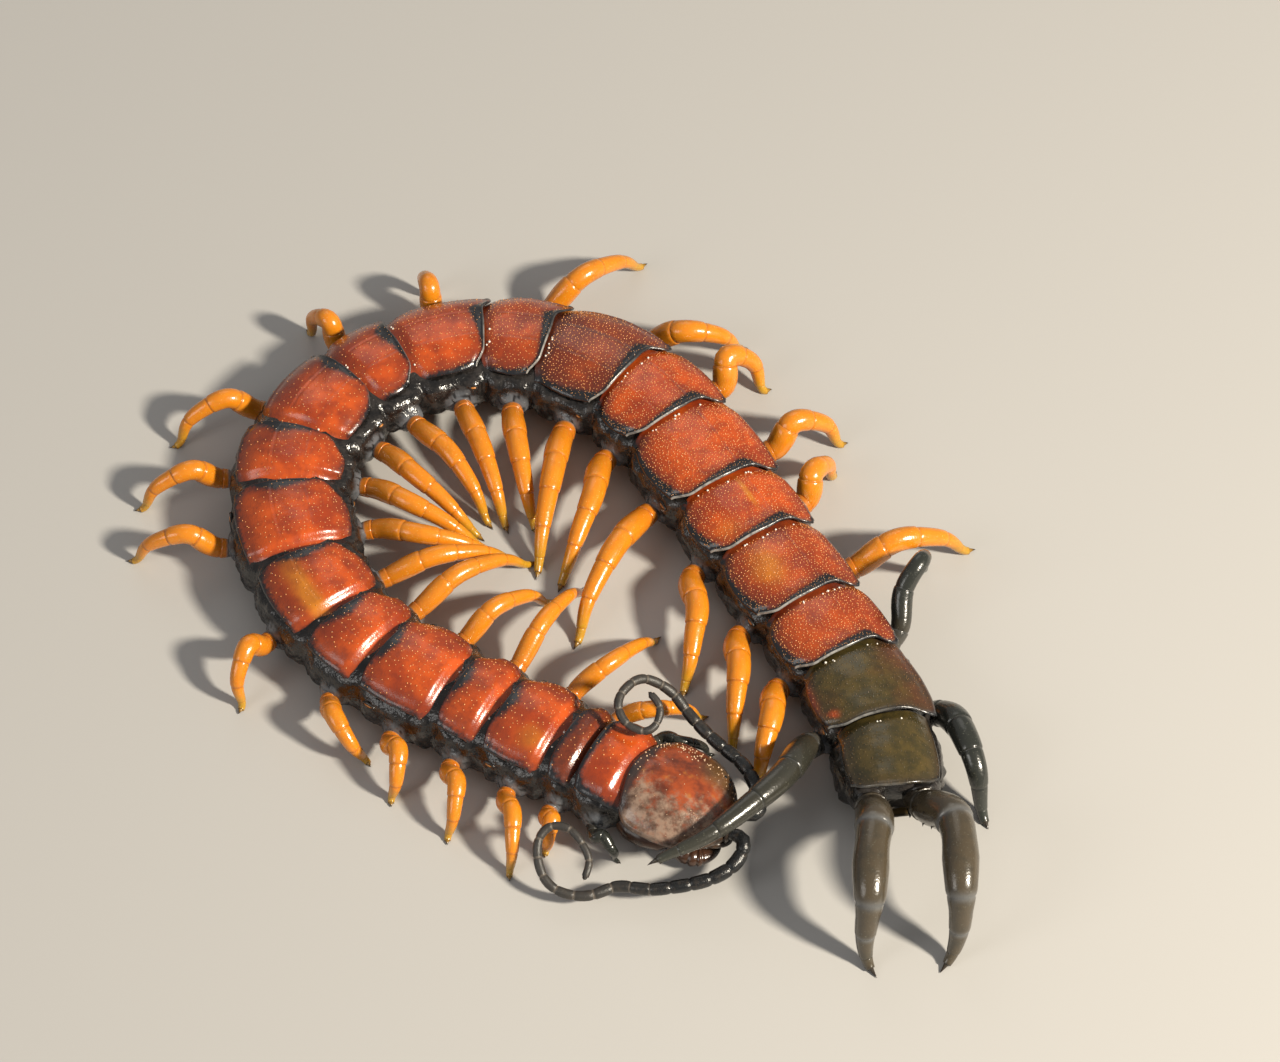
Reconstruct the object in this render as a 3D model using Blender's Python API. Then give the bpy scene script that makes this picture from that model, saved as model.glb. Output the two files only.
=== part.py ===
"""A giant centipede at life size, lying still with its body curled in an open C on the floor.

Lengths are millimetres until a mesh is finished, which scales it to metres. The animal is laid out
along one plan curve, the midline of its back, from the front of the head to the end of the last
back plate. Across that curve a point has a side distance, positive on the animal's left, and a
height above the floor. The left side is the inner side of the C.
"""

import math

import bmesh
import bpy
import numpy as np
from mathutils import Matrix, Vector

MM = 0.001
GAP = 0.3
# Wider, where the bend of the body brings the faces nearer on one side
BENT_GAP = 0.36

# Plan of the midline, from the front of the head to the end of the body
MIDLINE = (
    (6.4, -27.3), (2.6, -25.7), (-1.2, -23.5), (-5.6, -21.0), (-12.6, -16.9), (-18.3, -13.2),
    (-22.4, -8.6), (-24.9, -2.2), (-25.1, 4.0), (-22.3, 9.6), (-17.6, 13.2), (-11.8, 14.8),
    (-6.4, 14.0), (-0.8, 11.0), (4.0, 4.7), (8.8, -3.9), (14.1, -13.3), (16.7, -19.6),
    (17.6, -25.4),
)
CENTRE = (-6.4, -6.36)

# Back plates
HEAD_LENGTH = 7.1
PLATE_LENGTHS = (
    3.7, 2.1, 5.0, 3.8, 6.0, 4.4, 5.9, 6.4, 5.0, 6.2, 4.4,
    6.5, 4.9, 6.7, 5.4, 7.0, 5.5, 6.4, 5.4, 6.2, 5.6,
)
PLATE_HALF_WIDTHS = (
    3.5, 3.5, 3.7, 3.7, 3.8, 3.8, 3.8, 4.1, 4.0, 3.8, 3.8,
    3.8, 4.0, 4.2, 4.1, 4.2, 4.0, 3.9, 3.8, 3.6, 3.4,
)
PLATE_COUNT = len(PLATE_LENGTHS)
LAST_PLATE = PLATE_COUNT - 1
CROWN = 5.6
CROWN_DROP = 1.25
CROWN_POWER = 2.4
BACK_STATIONS = (0.0, 0.3, 0.55, 0.76, 0.92, 1.0)
LIP = 0.25
PLATE_STEP = 0.35

# Flanks and belly
FLANK_TOP = 2.95
FLANK_BOTTOM = 1.15
FLANK_BULGE = 0.35
INNER_BULGE = 0.75
BELLY = 0.85
BELLY_HALF_WIDTH = 0.68

# The body rolls over a little where it bends most, with its inner side raised
ROLL = math.radians(8.0)
ROLL_CENTRE = 61.0
ROLL_REACH = 13.0
ROLL_AXIS_HEIGHT = 3.0

# Legs: one row gives reach beyond the flank, sweep towards the head in degrees,
# sideways bow towards the head, and the height of the knee
LEG_ROOT_HEIGHT = 1.85
LEFT_LEGS = (
    (4.4, 57, 0.3, 2.4), (7.0, 46, 0.3, 3.0), (9.4, 14, 0.5, 3.1), (10.4, 0, 0.0, 3.2),
    (8.6, 20, -0.3, 3.2), (10.8, 12, -0.3, 3.2), (10.7, 12, 0.1, 3.2), (10.3, 17, 0.9, 3.2),
    (10.4, 18, 0.6, 3.3), (10.3, 6, 0.5, 3.3), (9.9, -3, -0.2, 3.3), (10.5, -6, 0.0, 3.2),
    (10.2, -22, 0.3, 3.2), (12.6, -21, 0.1, 3.1), (11.5, -35, -0.3, 3.1), (12.3, -34, 0.5, 3.0),
    (9.9, -55, -0.4, 2.9), (9.4, -55, 0.0, 2.9), (8.2, -49, 0.0, 2.9),
)
RIGHT_LEGS = (
    (2.6, 80, -0.2, 2.2), (2.9, 20, 0.2, 2.4), (6.3, 32, 0.3, 2.9), (5.6, 28, 0.5, 2.9),
    (4.8, 31, 0.5, 2.9), (5.6, 74, -0.9, 3.0), (5.7, 36, -0.7, 3.4), (7.5, -12, 0.0, 3.4),
    (7.2, 21, -0.1, 3.4), (7.6, 49, -0.6, 3.4), (4.5, 10, 0.0, 3.6), (4.5, 0, 0.0, 3.6),
    (10.0, -38, 0.0, 3.4), (7.7, -50, -0.5, 3.4), (4.8, -17, 1.5, 3.6), (6.7, -9, 0.7, 3.6),
    (5.4, 29, 0.2, 3.4), (10.1, -11, 0.2, 3.6),
)

# Legs held clear of the ground for part of their length: plan position and height of each point
RAISED_LEGS = {
    ("right", 19): ((18.7, -8.4, 4.0), (19.8, -6.9, 5.3), (20.3, -4.8, 2.8), (20.5, -3.2, 0.14),
                    (20.5, -2.6, 0.07)),
    ("left", 20): ((10.4, -23.7, 4.4), (7.3, -27.5, 5.1), (4.0, -30.1, 4.9), (1.7, -31.0, 4.3),
                   (0.5, -31.4, 3.8)),
    ("right", 20): ((22.6, -20.8, 3.8), (23.4, -23.3, 3.0), (24.0, -25.5, 0.14), (24.2, -26.0, 0.07)),
    ("left", 21): ((16.0, -29.0, 5.6), (15.6, -32.9, 6.2), (15.5, -35.1, 5.4), (15.8, -37.6, 0.14),
                   (16.1, -38.1, 0.07)),
    ("right", 21): ((21.2, -28.5, 5.6), (21.7, -32.1, 6.2), (21.7, -34.8, 5.2),
                    (20.7, -37.3, 0.14), (20.4, -37.7, 0.07)),
}


def natural_spline(points, per_span=24):
    """Points along the smooth curve through the given points."""
    p = np.array(points, float)
    knots = np.concatenate([[0.0], np.cumsum(np.linalg.norm(np.diff(p, axis=0), axis=1))])
    count = len(p)
    span = np.diff(knots)
    system = np.eye(count)
    known = np.zeros_like(p)
    for i in range(1, count - 1):
        system[i, i - 1:i + 2] = span[i - 1], 2 * (span[i - 1] + span[i]), span[i]
        known[i] = 6 * ((p[i + 1] - p[i]) / span[i] - (p[i] - p[i - 1]) / span[i - 1])
    bend = np.linalg.solve(system, known)
    out = []
    for i in range(count - 1):
        for u in np.linspace(0, 1, per_span, endpoint=i == count - 2):
            w = 1 - u
            cubic = (w ** 3 - w) * bend[i] + (u ** 3 - u) * bend[i + 1]
            out.append(w * p[i] + u * p[i + 1] + span[i] ** 2 / 6 * cubic)
    return np.array(out)


class Path:
    """A smooth curve that is asked for points by the distance along it."""

    def __init__(self, points, per_span=24):
        self.points = natural_spline(points, per_span)
        steps = np.linalg.norm(np.diff(self.points, axis=0), axis=1)
        self.distances = np.concatenate([[0.0], np.cumsum(steps)])
        self.length = float(self.distances[-1])

    def at(self, distance):
        inside = min(max(distance, 0.0), self.length)
        point = np.array([np.interp(inside, self.distances, column) for column in self.points.T])
        if distance == inside:
            return point
        return point + (distance - inside) * self.heading(inside)

    def heading(self, distance, step=0.6):
        inside = min(max(distance, 0.0), self.length)
        before = max(inside - step, 0.0)
        after = min(inside + step, self.length)
        delta = self.at(after) - self.at(before)
        return delta / np.linalg.norm(delta)


SPINE = Path(MIDLINE)
PLATE_STARTS = [HEAD_LENGTH + sum(PLATE_LENGTHS[:i]) for i in range(PLATE_COUNT)]
BODY_END = HEAD_LENGTH + sum(PLATE_LENGTHS)


def roll_at(s):
    return ROLL * math.exp(-(((s - ROLL_CENTRE) / ROLL_REACH) ** 2))


def place(s, side, height):
    """The point at distance s along the midline, in millimetres."""
    centre = SPINE.at(s)
    tailward = SPINE.heading(s)
    left = np.array([tailward[1], -tailward[0]])
    roll = roll_at(s)
    rise = height - ROLL_AXIS_HEIGHT
    across = side * math.cos(roll) - rise * math.sin(roll)
    up = ROLL_AXIS_HEIGHT + side * math.sin(roll) + rise * math.cos(roll)
    x, y = centre + left * across - np.array(CENTRE)
    return Vector((x, y, up))


def blend(value, stations):
    """Straight-line reading of a table of (position, value) pairs."""
    return float(np.interp(value, [a for a, _ in stations], [b for _, b in stations]))


def inner_bend(s):
    return math.exp(-(((s - ROLL_CENTRE) / (1.6 * ROLL_REACH)) ** 2))


def flank_side(s, side_sign, half_width):
    """How far out the flank stands, on the left for +1 and on the right for -1."""
    bulge = FLANK_BULGE
    if side_sign > 0:
        bulge += (INNER_BULGE - FLANK_BULGE) * inner_bend(s)
    return half_width + bulge


# Making meshes

def material(name, colour, roughness):
    made = bpy.data.materials.new(name)
    made.use_nodes = True
    shader = made.node_tree.nodes["Principled BSDF"]
    shader.inputs["Base Color"].default_value = (*colour, 1.0)
    shader.inputs["Roughness"].default_value = roughness
    shader.inputs["Metallic"].default_value = 0.0
    return made


PALETTE = {
    "plate_red": ((0.36, 0.055, 0.016), 0.32),
    "plate_olive": ((0.055, 0.05, 0.02), 0.36),
    "head_brown": ((0.16, 0.05, 0.025), 0.34),
    "leg_amber": ((0.62, 0.22, 0.02), 0.3),
    "leg_black": ((0.018, 0.02, 0.018), 0.28),
    "antenna_grey": ((0.05, 0.055, 0.05), 0.5),
}


def finish(name, mesh_maker, palette_name):
    """Close a bmesh in millimetres into an object of its own, in metres."""
    bmesh.ops.recalc_face_normals(mesh_maker, faces=mesh_maker.faces)
    mesh = bpy.data.meshes.new(name)
    mesh_maker.to_mesh(mesh)
    mesh_maker.free()
    mesh.transform(Matrix.Scale(MM, 4))
    mesh.shade_smooth()
    mesh.set_sharp_from_angle(angle=math.radians(40))
    mesh.materials.append(material(name + "_finish", *PALETTE[palette_name]))
    made = bpy.data.objects.new(name, mesh)
    bpy.context.scene.collection.objects.link(made)
    return made


def loft(rings):
    """A closed bmesh through rings of equal count, with a flat face on each end."""
    made = bmesh.new()
    rows = [[made.verts.new(point) for point in ring] for ring in rings]
    count = len(rings[0])
    for lower, upper in zip(rows, rows[1:]):
        for i in range(count):
            j = (i + 1) % count
            made.faces.new((lower[i], lower[j], upper[j], upper[i]))
    made.faces.new(rows[0][::-1])
    made.faces.new(rows[-1])
    return made


# Trunk

def trunk_ring(s, half_width, step, bulge_share):
    """One section: the back plate, its lip, the flanks and the flat belly."""
    crown = CROWN + step
    edge = crown - CROWN_DROP
    halves = []
    for side_sign in (1, -1):
        flank = flank_side(s, side_sign, half_width)
        flank = half_width - LIP + (flank - half_width + LIP) * bulge_share
        half = [(f * half_width, crown - CROWN_DROP * f ** CROWN_POWER) for f in BACK_STATIONS]
        half.append((half_width - LIP, edge - 0.4))
        half.append((flank, FLANK_TOP))
        half.append((flank, FLANK_BOTTOM))
        half.append((BELLY_HALF_WIDTH * half_width, BELLY))
        halves.append([(side_sign * side, height) for side, height in half])
    left, right = halves
    outline = left + right[:0:-1]
    return [place(s, side, height) for side, height in outline]


# Along one plate: share of its length, share of its half-width, height step, flank share
PLATE_RINGS = (
    (0.0, 0.92, -PLATE_STEP, 0.35),
    (0.14, 0.97, -0.12, 0.75),
    (0.4, 1.0, 0.0, 1.0),
    (0.8, 1.0, 0.05, 1.0),
    (0.94, 0.98, 0.08, 0.8),
    (1.0, 0.95, 0.02, 0.45),
)
SEAM = 0.12


def plate_rings(index, start_cut, end_cut):
    start = PLATE_STARTS[index] + start_cut
    length = PLATE_LENGTHS[index] - start_cut - end_cut
    half_width = PLATE_HALF_WIDTHS[index]
    taper = 0.08 if index == LAST_PLATE else 0.0
    rings = []
    for share, width_share, step, flank_share in PLATE_RINGS:
        width = half_width * (width_share - taper * share)
        rings.append(trunk_ring(start + share * length, width, step, flank_share))
    return rings


def build_trunk():
    for first in range(0, PLATE_COUNT, 2):
        last = min(first + 1, LAST_PLATE)
        rings = []
        for index in range(first, last + 1):
            start_cut = SEAM if index > first else 0.0
            end_cut = BENT_GAP if index == last and last < LAST_PLATE else 0.0
            rings += plate_rings(index, start_cut, end_cut)
        name = f"trunk_{first + 1:02d}_{last + 1:02d}" if last > first else f"trunk_{first + 1:02d}"
        olive = first >= PLATE_COUNT - 2
        finish(name, loft(rings), "plate_olive" if olive else "plate_red")


# Head, with the plate that carries the venom claws below it

HEAD_FLOOR = 2.3
HEAD_STATIONS = (0.0, 0.3, 0.58, 0.8, 0.95)
# Distance from the front, half-width, crown height, edge height
HEAD_RINGS = (
    (0.0, 1.7, 3.5, 3.1), (0.35, 2.2, 3.9, 3.15), (0.9, 2.8, 4.2, 3.2), (1.8, 3.4, 4.6, 3.4),
    (3.0, 3.9, 5.05, 3.6), (4.4, 4.1, 5.3, 3.75), (5.6, 3.9, 5.4, 3.85), (6.4, 3.6, 5.3, 3.9),
    (HEAD_LENGTH - GAP, 3.25, 5.1, 3.85),
)
OCELLUS_RADIUS = 0.27
# Distance from the front and share of the half-width of each simple eye
OCELLI = ((0.75, 0.86), (1.25, 0.9), (1.1, 0.76), (1.6, 0.8))


def head_size(s, column):
    return blend(s, [(row[0], row[column]) for row in HEAD_RINGS])


def head_surface(s, share):
    """Height of the head's top at a share of its half-width."""
    crown = head_size(s, 2)
    edge = head_size(s, 3)
    return crown - (crown - edge) * abs(share) ** CROWN_POWER


def head_ring(s, half_width, crown, edge):
    half = [(f * half_width, crown - (crown - edge) * f ** CROWN_POWER) for f in HEAD_STATIONS]
    half.append((half_width, edge - 0.15))
    half.append((half_width - 0.2, (edge + HEAD_FLOOR) / 2 - 0.15))
    half.append((half_width * 0.8, HEAD_FLOOR))
    half.append((half_width * 0.4, HEAD_FLOOR))
    right = [(-side, height) for side, height in half]
    outline = half + right[:0:-1]
    return [place(s, side, height) for side, height in outline]


def join(name, pieces, palette_name):
    """Fuse closed meshes in millimetres into one object by a Boolean union."""
    holder = bpy.data.collections.new(name + "_pieces")
    bpy.context.scene.collection.children.link(holder)
    objects = []
    for piece in pieces:
        bmesh.ops.recalc_face_normals(piece, faces=piece.faces)
        mesh = bpy.data.meshes.new(name + "_piece")
        piece.to_mesh(mesh)
        piece.free()
        objects.append(bpy.data.objects.new(name + "_piece", mesh))
    base = objects[0]
    bpy.context.scene.collection.objects.link(base)
    for other in objects[1:]:
        holder.objects.link(other)
    union = base.modifiers.new("union", "BOOLEAN")
    union.operation = "UNION"
    union.operand_type = "COLLECTION"
    union.collection = holder
    union.solver = "EXACT"
    evaluated = base.evaluated_get(bpy.context.evaluated_depsgraph_get())
    fused = bmesh.new()
    fused.from_mesh(evaluated.to_mesh())
    for piece in objects:
        bpy.data.objects.remove(piece)
    bpy.data.collections.remove(holder)
    return finish(name, keep_largest(fused), palette_name)


def keep_largest(fused):
    """Drop every closed surface but the one with the most faces."""
    unseen = set(fused.faces)
    shells = []
    while unseen:
        shell = {unseen.pop()}
        edge_of_shell = list(shell)
        while edge_of_shell:
            face = edge_of_shell.pop()
            for edge in face.edges:
                for other in edge.link_faces:
                    if other in unseen:
                        unseen.discard(other)
                        shell.add(other)
                        edge_of_shell.append(other)
        shells.append(shell)
    shells.sort(key=len)
    for shell in shells[:-1]:
        bmesh.ops.delete(fused, geom=list(shell), context="FACES")
    return fused


def build_head():
    pieces = [loft([head_ring(*row) for row in HEAD_RINGS])]
    for side_sign in (1, -1):
        for s, share in OCELLI:
            ball = bmesh.new()
            bmesh.ops.create_icosphere(ball, subdivisions=2, radius=OCELLUS_RADIUS)
            centre = place(s, side_sign * share * head_size(s, 1), head_surface(s, share))
            bmesh.ops.translate(ball, verts=ball.verts, vec=centre)
            pieces.append(ball)
    join("head", pieces, "head_brown")


CLAW_PLATE_TOP = HEAD_FLOOR - GAP
CLAW_PLATE_BOTTOM = 0.55
CLAW_PLATE_FRONT = 3.6
# Distance from the front of the head, half-width, lowest height
CLAW_PLATE_RINGS = (
    (CLAW_PLATE_FRONT, 2.7, 0.8), (4.1, 3.1, 0.6), (5.3, 3.4, CLAW_PLATE_BOTTOM),
    (6.5, 3.35, CLAW_PLATE_BOTTOM), (HEAD_LENGTH - GAP, 3.0, 0.75),
)


def claw_plate_ring(s, half_width, bottom):
    middle = (CLAW_PLATE_TOP + bottom) / 2
    half = [
        (0.0, CLAW_PLATE_TOP), (half_width * 0.8, CLAW_PLATE_TOP), (half_width, middle + 0.25),
        (half_width, middle - 0.25), (half_width * 0.75, bottom), (0.0, bottom),
    ]
    right = [(-side, height) for side, height in half[1:-1]]
    outline = half + right[::-1]
    return [place(s, side, height) for side, height in outline]


def build_claw_plate():
    finish("claw_plate", loft([claw_plate_ring(*row) for row in CLAW_PLATE_RINGS]), "head_brown")


# Tubes: legs, antennae and venom claws

def tube_ring(centre, axis, across, radius, sides, flatten=1.0):
    """A ring about an axis, with every point kept on or above the floor."""
    axis = axis.normalized()
    first = (across - axis * across.dot(axis)).normalized()
    second = axis.cross(first)
    ring = []
    for i in range(sides):
        angle = 2 * math.pi * (i + 0.5) / sides
        offset = first * math.cos(angle) * radius + second * math.sin(angle) * radius * flatten
        point = centre + offset
        point.z = max(point.z, 0.0)
        ring.append(point)
    return ring


def tube(points, radii, sides, mouth=None, flatten=1.0):
    """Rings along a run of points, each across the mean direction of its two sides.

    The first ring is cut square to the mouth direction, if that is given.
    """
    steps = [(b - a).normalized() for a, b in zip(points, points[1:])]
    axes = [steps[0]]
    axes += [(a + b).normalized() for a, b in zip(steps, steps[1:])]
    axes.append(steps[-1])
    up = Vector((0.0, 0.0, 1.0))
    across = axes[0].cross(up)
    rings = []
    for centre, axis, radius in zip(points, axes, radii):
        across = (across - axis * across.dot(axis)).normalized()
        rings.append(tube_ring(centre, axis, across, radius, sides, flatten))
    if mouth:
        along = axes[0]
        for point in rings[0]:
            point -= along * ((point - points[0]).dot(mouth) / along.dot(mouth))
    return rings


# Venom claws: distance from the front of the head, side distance, height, radius
VENOM_CLAW = (
    (CLAW_PLATE_FRONT - BENT_GAP, 1.75, 1.3, 0.8), (2.7, 2.3, 1.25, 0.9), (1.9, 2.5, 1.2, 0.85),
    (1.1, 2.1, 1.15, 0.62), (0.65, 1.35, 1.1, 0.4), (0.6, 0.7, 1.05, 0.18),
)
VENOM_CLAW_SIDES = 10
VENOM_CLAW_FLATTEN = 0.8


def build_venom_claws():
    for word, side_sign in (("left", 1), ("right", -1)):
        points = [place(s, side_sign * side, height) for s, side, height, _ in VENOM_CLAW]
        radii = [radius for *_, radius in VENOM_CLAW]
        forward = place(CLAW_PLATE_FRONT - 1.0, 0.0, 1.0) - place(CLAW_PLATE_FRONT, 0.0, 1.0)
        rings = tube(points, radii, VENOM_CLAW_SIDES, forward, VENOM_CLAW_FLATTEN)
        finish(f"venom_claw_{word}", loft(rings), "leg_black")


# Antennae: first the root, as distance from the front of the head, side distance and height,
# then the plan position and height of each point of the route
ANTENNA_ROOT = ((-BENT_GAP, 0.95, 2.95), (-1.1, 1.1, 2.95))
LEFT_ANTENNA = (
    (8.3, -26.1, 3.0), (8.0, -24.5, 3.2), (7.1, -22.7, 3.3), (5.8, -21.5, 3.5), (4.4, -20.3, 4.0),
    (3.2, -19.0, 4.5), (2.4, -18.2, 5.2), (1.3, -17.8, 6.0), (0.1, -17.9, 6.7), (-0.9, -18.8, 7.0),
    (-1.5, -20.0, 6.9), (-1.2, -21.1, 6.5), (-0.3, -21.8, 6.2), (0.6, -21.9, 6.2),
    (1.3, -21.1, 6.5), (1.3, -20.2, 6.9), (0.7, -19.5, 7.2),
)
RIGHT_ANTENNA = (
    (7.0, -29.6, 2.7), (6.0, -30.8, 2.3), (4.4, -31.5, 2.0), (2.2, -31.9, 1.8), (0.2, -31.9, 1.6),
    (-1.7, -31.6, 1.4), (-3.0, -32.1, 1.3), (-4.7, -32.2, 1.3), (-6.3, -31.5, 1.7),
    (-7.0, -30.1, 2.5), (-7.0, -29.1, 3.1), (-6.3, -28.2, 3.6), (-5.0, -28.3, 3.7),
    (-3.9, -29.4, 3.2), (-3.5, -30.4, 2.7), (-3.8, -31.4, 2.2),
)
ANTENNA_RADII = ((0.0, 0.48), (0.1, 0.5), (0.35, 0.44), (0.6, 0.33), (1.0, 0.25))
ANTENNA_RINGS = 34
ANTENNA_SIDES = 6


def plan_points(route):
    centre = Vector((CENTRE[0], CENTRE[1], 0.0))
    return [Vector(point) - centre for point in route]


def build_antenna(word, side_sign, plan_route):
    root = [place(s, side_sign * side, height) for s, side, height in ANTENNA_ROOT]
    path = Path([tuple(point) for point in root + plan_points(plan_route)], per_span=12)
    shares = [i / (ANTENNA_RINGS - 1) for i in range(ANTENNA_RINGS)]
    points = [Vector(path.at(share * path.length)) for share in shares]
    radii = [blend(share, ANTENNA_RADII) for share in shares]
    finish(f"antenna_{word}", loft(tube(points, radii, ANTENNA_SIDES)), "antenna_grey")


# Walking legs

LEG_SIDES = 7
# The first short joint: its length, its share of the leg's own direction, and how it rises
TROCHANTER = 0.9
TROCHANTER_TURN = 0.65
TROCHANTER_RISE = 0.22
CLAW = 0.55
CLAW_HEIGHTS = (0.14, 0.07)
# Sweep in degrees and share of the plate's length at which the leg leaves the flank
ROOT_SHARES = ((-60, 0.77), (0, 0.56), (60, 0.36))
# Share of the reach and of the knee height at the joints of a leg that stands on the floor
LEG_STANCE = ((0.36, 1.0), (0.6, 0.86), (0.82, 0.44))
# Share of a leg's own length and radius of each ring
LEG_PROFILE = (
    (0.0, 0.78), (0.09, 0.86), (0.2, 0.92), (0.33, 0.85), (0.43, 0.8), (0.54, 0.7),
    (0.64, 0.62), (0.75, 0.5), (0.86, 0.38), (0.955, 0.26), (1.0, 0.12),
)
# The last pair is thicker up to the end of its second long joint
LAST_PAIR_PROFILE = (
    (0.0, 1.1), (0.12, 1.32), (0.27, 1.35), (0.36, 1.2), (0.48, 1.28), (0.62, 1.05), (0.68, 0.85),
    (0.78, 0.72), (0.88, 0.5), (0.955, 0.3), (1.0, 0.12),
)
# Share of the common leg thickness by pair: thin near the head, thickest towards the tail
LEG_THICKNESS = (
    (1, 0.5), (2, 0.74), (3, 0.78), (6, 0.85), (12, 0.92), (14, 1.02), (19, 1.05), (20, 1.15), (21, 1.0),
)
RAISED_SWEEP = -60
LAST_PAIR = 21
LAST_PAIR_SIDE = 1.75
LAST_PAIR_HEIGHT = 3.2


def leg_root(pair, side_sign, sweep):
    """Root point of a leg, just clear of the flank, the way out, and its distance along the body.

    A leg that sweeps back leaves its plate nearer the rear end.
    """
    index = pair - 1
    share = blend(sweep, ROOT_SHARES)
    s = PLATE_STARTS[index] + share * PLATE_LENGTHS[index]
    side = side_sign * (flank_side(s, side_sign, PLATE_HALF_WIDTHS[index]) + BENT_GAP)
    root = place(s, side, LEG_ROOT_HEIGHT)
    outward = (place(s, side + side_sign, LEG_ROOT_HEIGHT) - root).normalized()
    return root, outward, s


def last_leg_root(side_sign):
    root = place(BODY_END + GAP, side_sign * LAST_PAIR_SIDE, LAST_PAIR_HEIGHT)
    ahead = place(BODY_END + GAP + 1.0, side_sign * LAST_PAIR_SIDE, LAST_PAIR_HEIGHT)
    return root, (ahead - root).normalized()


def plan_directions(s, side_sign):
    tailward = SPINE.heading(s)
    headward = Vector((-tailward[0], -tailward[1], 0.0))
    outward = Vector((tailward[1], -tailward[0], 0.0)) * side_sign
    return outward, headward


def first_joint(root, outward, along):
    """End of the first short joint, which leans from the flank towards where the leg goes."""
    lean = outward.lerp(along, TROCHANTER_TURN) + Vector((0.0, 0.0, TROCHANTER_RISE))
    return root + lean.normalized() * TROCHANTER


def standing_route(pair, side_sign, reach, sweep, bow, knee):
    """Joints of a leg that arches out from the flank down to its claw on the floor."""
    root, outward, s = leg_root(pair, side_sign, sweep)
    flat_out, headward = plan_directions(s, side_sign)
    turn = math.radians(sweep)
    along = flat_out * math.cos(turn) + headward * math.sin(turn)
    aside = headward * math.cos(turn) - flat_out * math.sin(turn)
    base = Vector((root.x, root.y, 0.0))
    route = [root, first_joint(root, outward, along)]
    for share, knee_share in LEG_STANCE:
        plan = base + along * reach * share + aside * bow * 4 * share * (1 - share)
        route.append(plan + Vector((0.0, 0.0, knee * knee_share)))
    for behind, height in zip((CLAW, 0.0), CLAW_HEIGHTS):
        route.append(base + along * (reach - behind) + Vector((0.0, 0.0, height)))
    return route, outward


def raised_route(root, outward, points):
    """Joints of a leg that lies in the air, through points of its own."""
    points = plan_points(points)
    return [root, first_joint(root, outward, (points[0] - root).normalized()), *points]


def leg_rings(route, outward, profile, thick):
    path = Path([tuple(point) for point in route], per_span=12)
    points = [Vector(path.at(share * path.length)) for share, _ in profile]
    radii = [radius * thick for _, radius in profile]
    return tube(points, radii, LEG_SIDES, outward)


def build_legs():
    for word, side_sign, poses in (("left", 1, LEFT_LEGS), ("right", -1, RIGHT_LEGS)):
        for pair, pose in enumerate(poses, start=1):
            route, outward = standing_route(pair, side_sign, *pose)
            rings = leg_rings(route, outward, LEG_PROFILE, blend(pair, LEG_THICKNESS))
            finish(f"leg_{word}_{pair:02d}", loft(rings), "leg_black" if pair == 1 else "leg_amber")
    for (word, pair), points in RAISED_LEGS.items():
        side_sign = 1 if word == "left" else -1
        if pair == LAST_PAIR:
            root, outward = last_leg_root(side_sign)
            profile = LAST_PAIR_PROFILE
        else:
            root, outward, _ = leg_root(pair, side_sign, RAISED_SWEEP)
            profile = LEG_PROFILE
        route = raised_route(root, outward, points)
        rings = leg_rings(route, outward, profile, blend(pair, LEG_THICKNESS))
        finish(f"leg_{word}_{pair:02d}", loft(rings), "leg_black")


def build():
    for thing in list(bpy.data.objects):
        bpy.data.objects.remove(thing)
    build_trunk()
    build_head()
    build_claw_plate()
    build_venom_claws()
    build_antenna("left", 1, LEFT_ANTENNA)
    build_antenna("right", -1, RIGHT_ANTENNA)
    build_legs()


build()
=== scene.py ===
"""The looks of a giant centipede at life size, lying curled in an open C on the floor.

Lengths are millimetres until a mesh is made, which scales it to metres. The animal is laid out
along one plan curve, the midline of its back, from the front of the head to the end of the last
back plate. Across that curve a point has a side distance, positive on the animal's left, and a
height above the floor. The left side is the inner side of the C.
"""

import math

import bmesh
import bpy
import numpy as np
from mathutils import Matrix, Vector, noise


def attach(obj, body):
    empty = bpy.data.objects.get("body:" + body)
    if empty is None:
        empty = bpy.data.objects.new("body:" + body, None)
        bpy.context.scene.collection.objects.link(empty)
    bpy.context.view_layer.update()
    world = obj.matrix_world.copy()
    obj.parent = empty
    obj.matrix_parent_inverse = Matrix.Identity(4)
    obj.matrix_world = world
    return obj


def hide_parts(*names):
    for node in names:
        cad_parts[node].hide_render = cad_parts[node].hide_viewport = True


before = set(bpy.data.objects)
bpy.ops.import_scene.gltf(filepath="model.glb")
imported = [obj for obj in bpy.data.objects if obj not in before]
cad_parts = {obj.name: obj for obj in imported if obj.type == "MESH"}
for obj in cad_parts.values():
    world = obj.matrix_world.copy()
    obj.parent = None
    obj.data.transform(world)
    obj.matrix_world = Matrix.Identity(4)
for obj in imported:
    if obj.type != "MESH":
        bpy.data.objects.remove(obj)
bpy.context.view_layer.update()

MM = 0.001
SEED = 20
BODY = "root"

# The camera: angle across the picture, height above the horizon, and distance
VIEW_ANGLE = math.radians(15.0)
VIEW_ELEVATION = math.radians(53.0)
VIEW_DISTANCE = 353.4
SENSOR_WIDTH = 36.0

# Plan of the midline, from the front of the head to the end of the body
MIDLINE = (
    (6.4, -27.3), (2.6, -25.7), (-1.2, -23.5), (-5.6, -21.0), (-12.6, -16.9), (-18.3, -13.2),
    (-22.4, -8.6), (-24.9, -2.2), (-25.1, 4.0), (-22.3, 9.6), (-17.6, 13.2), (-11.8, 14.8),
    (-6.4, 14.0), (-0.8, 11.0), (4.0, 4.7), (8.8, -3.9), (14.1, -13.3), (16.7, -19.6),
    (17.6, -25.4),
)
CENTRE = (-6.4, -6.36)

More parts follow.
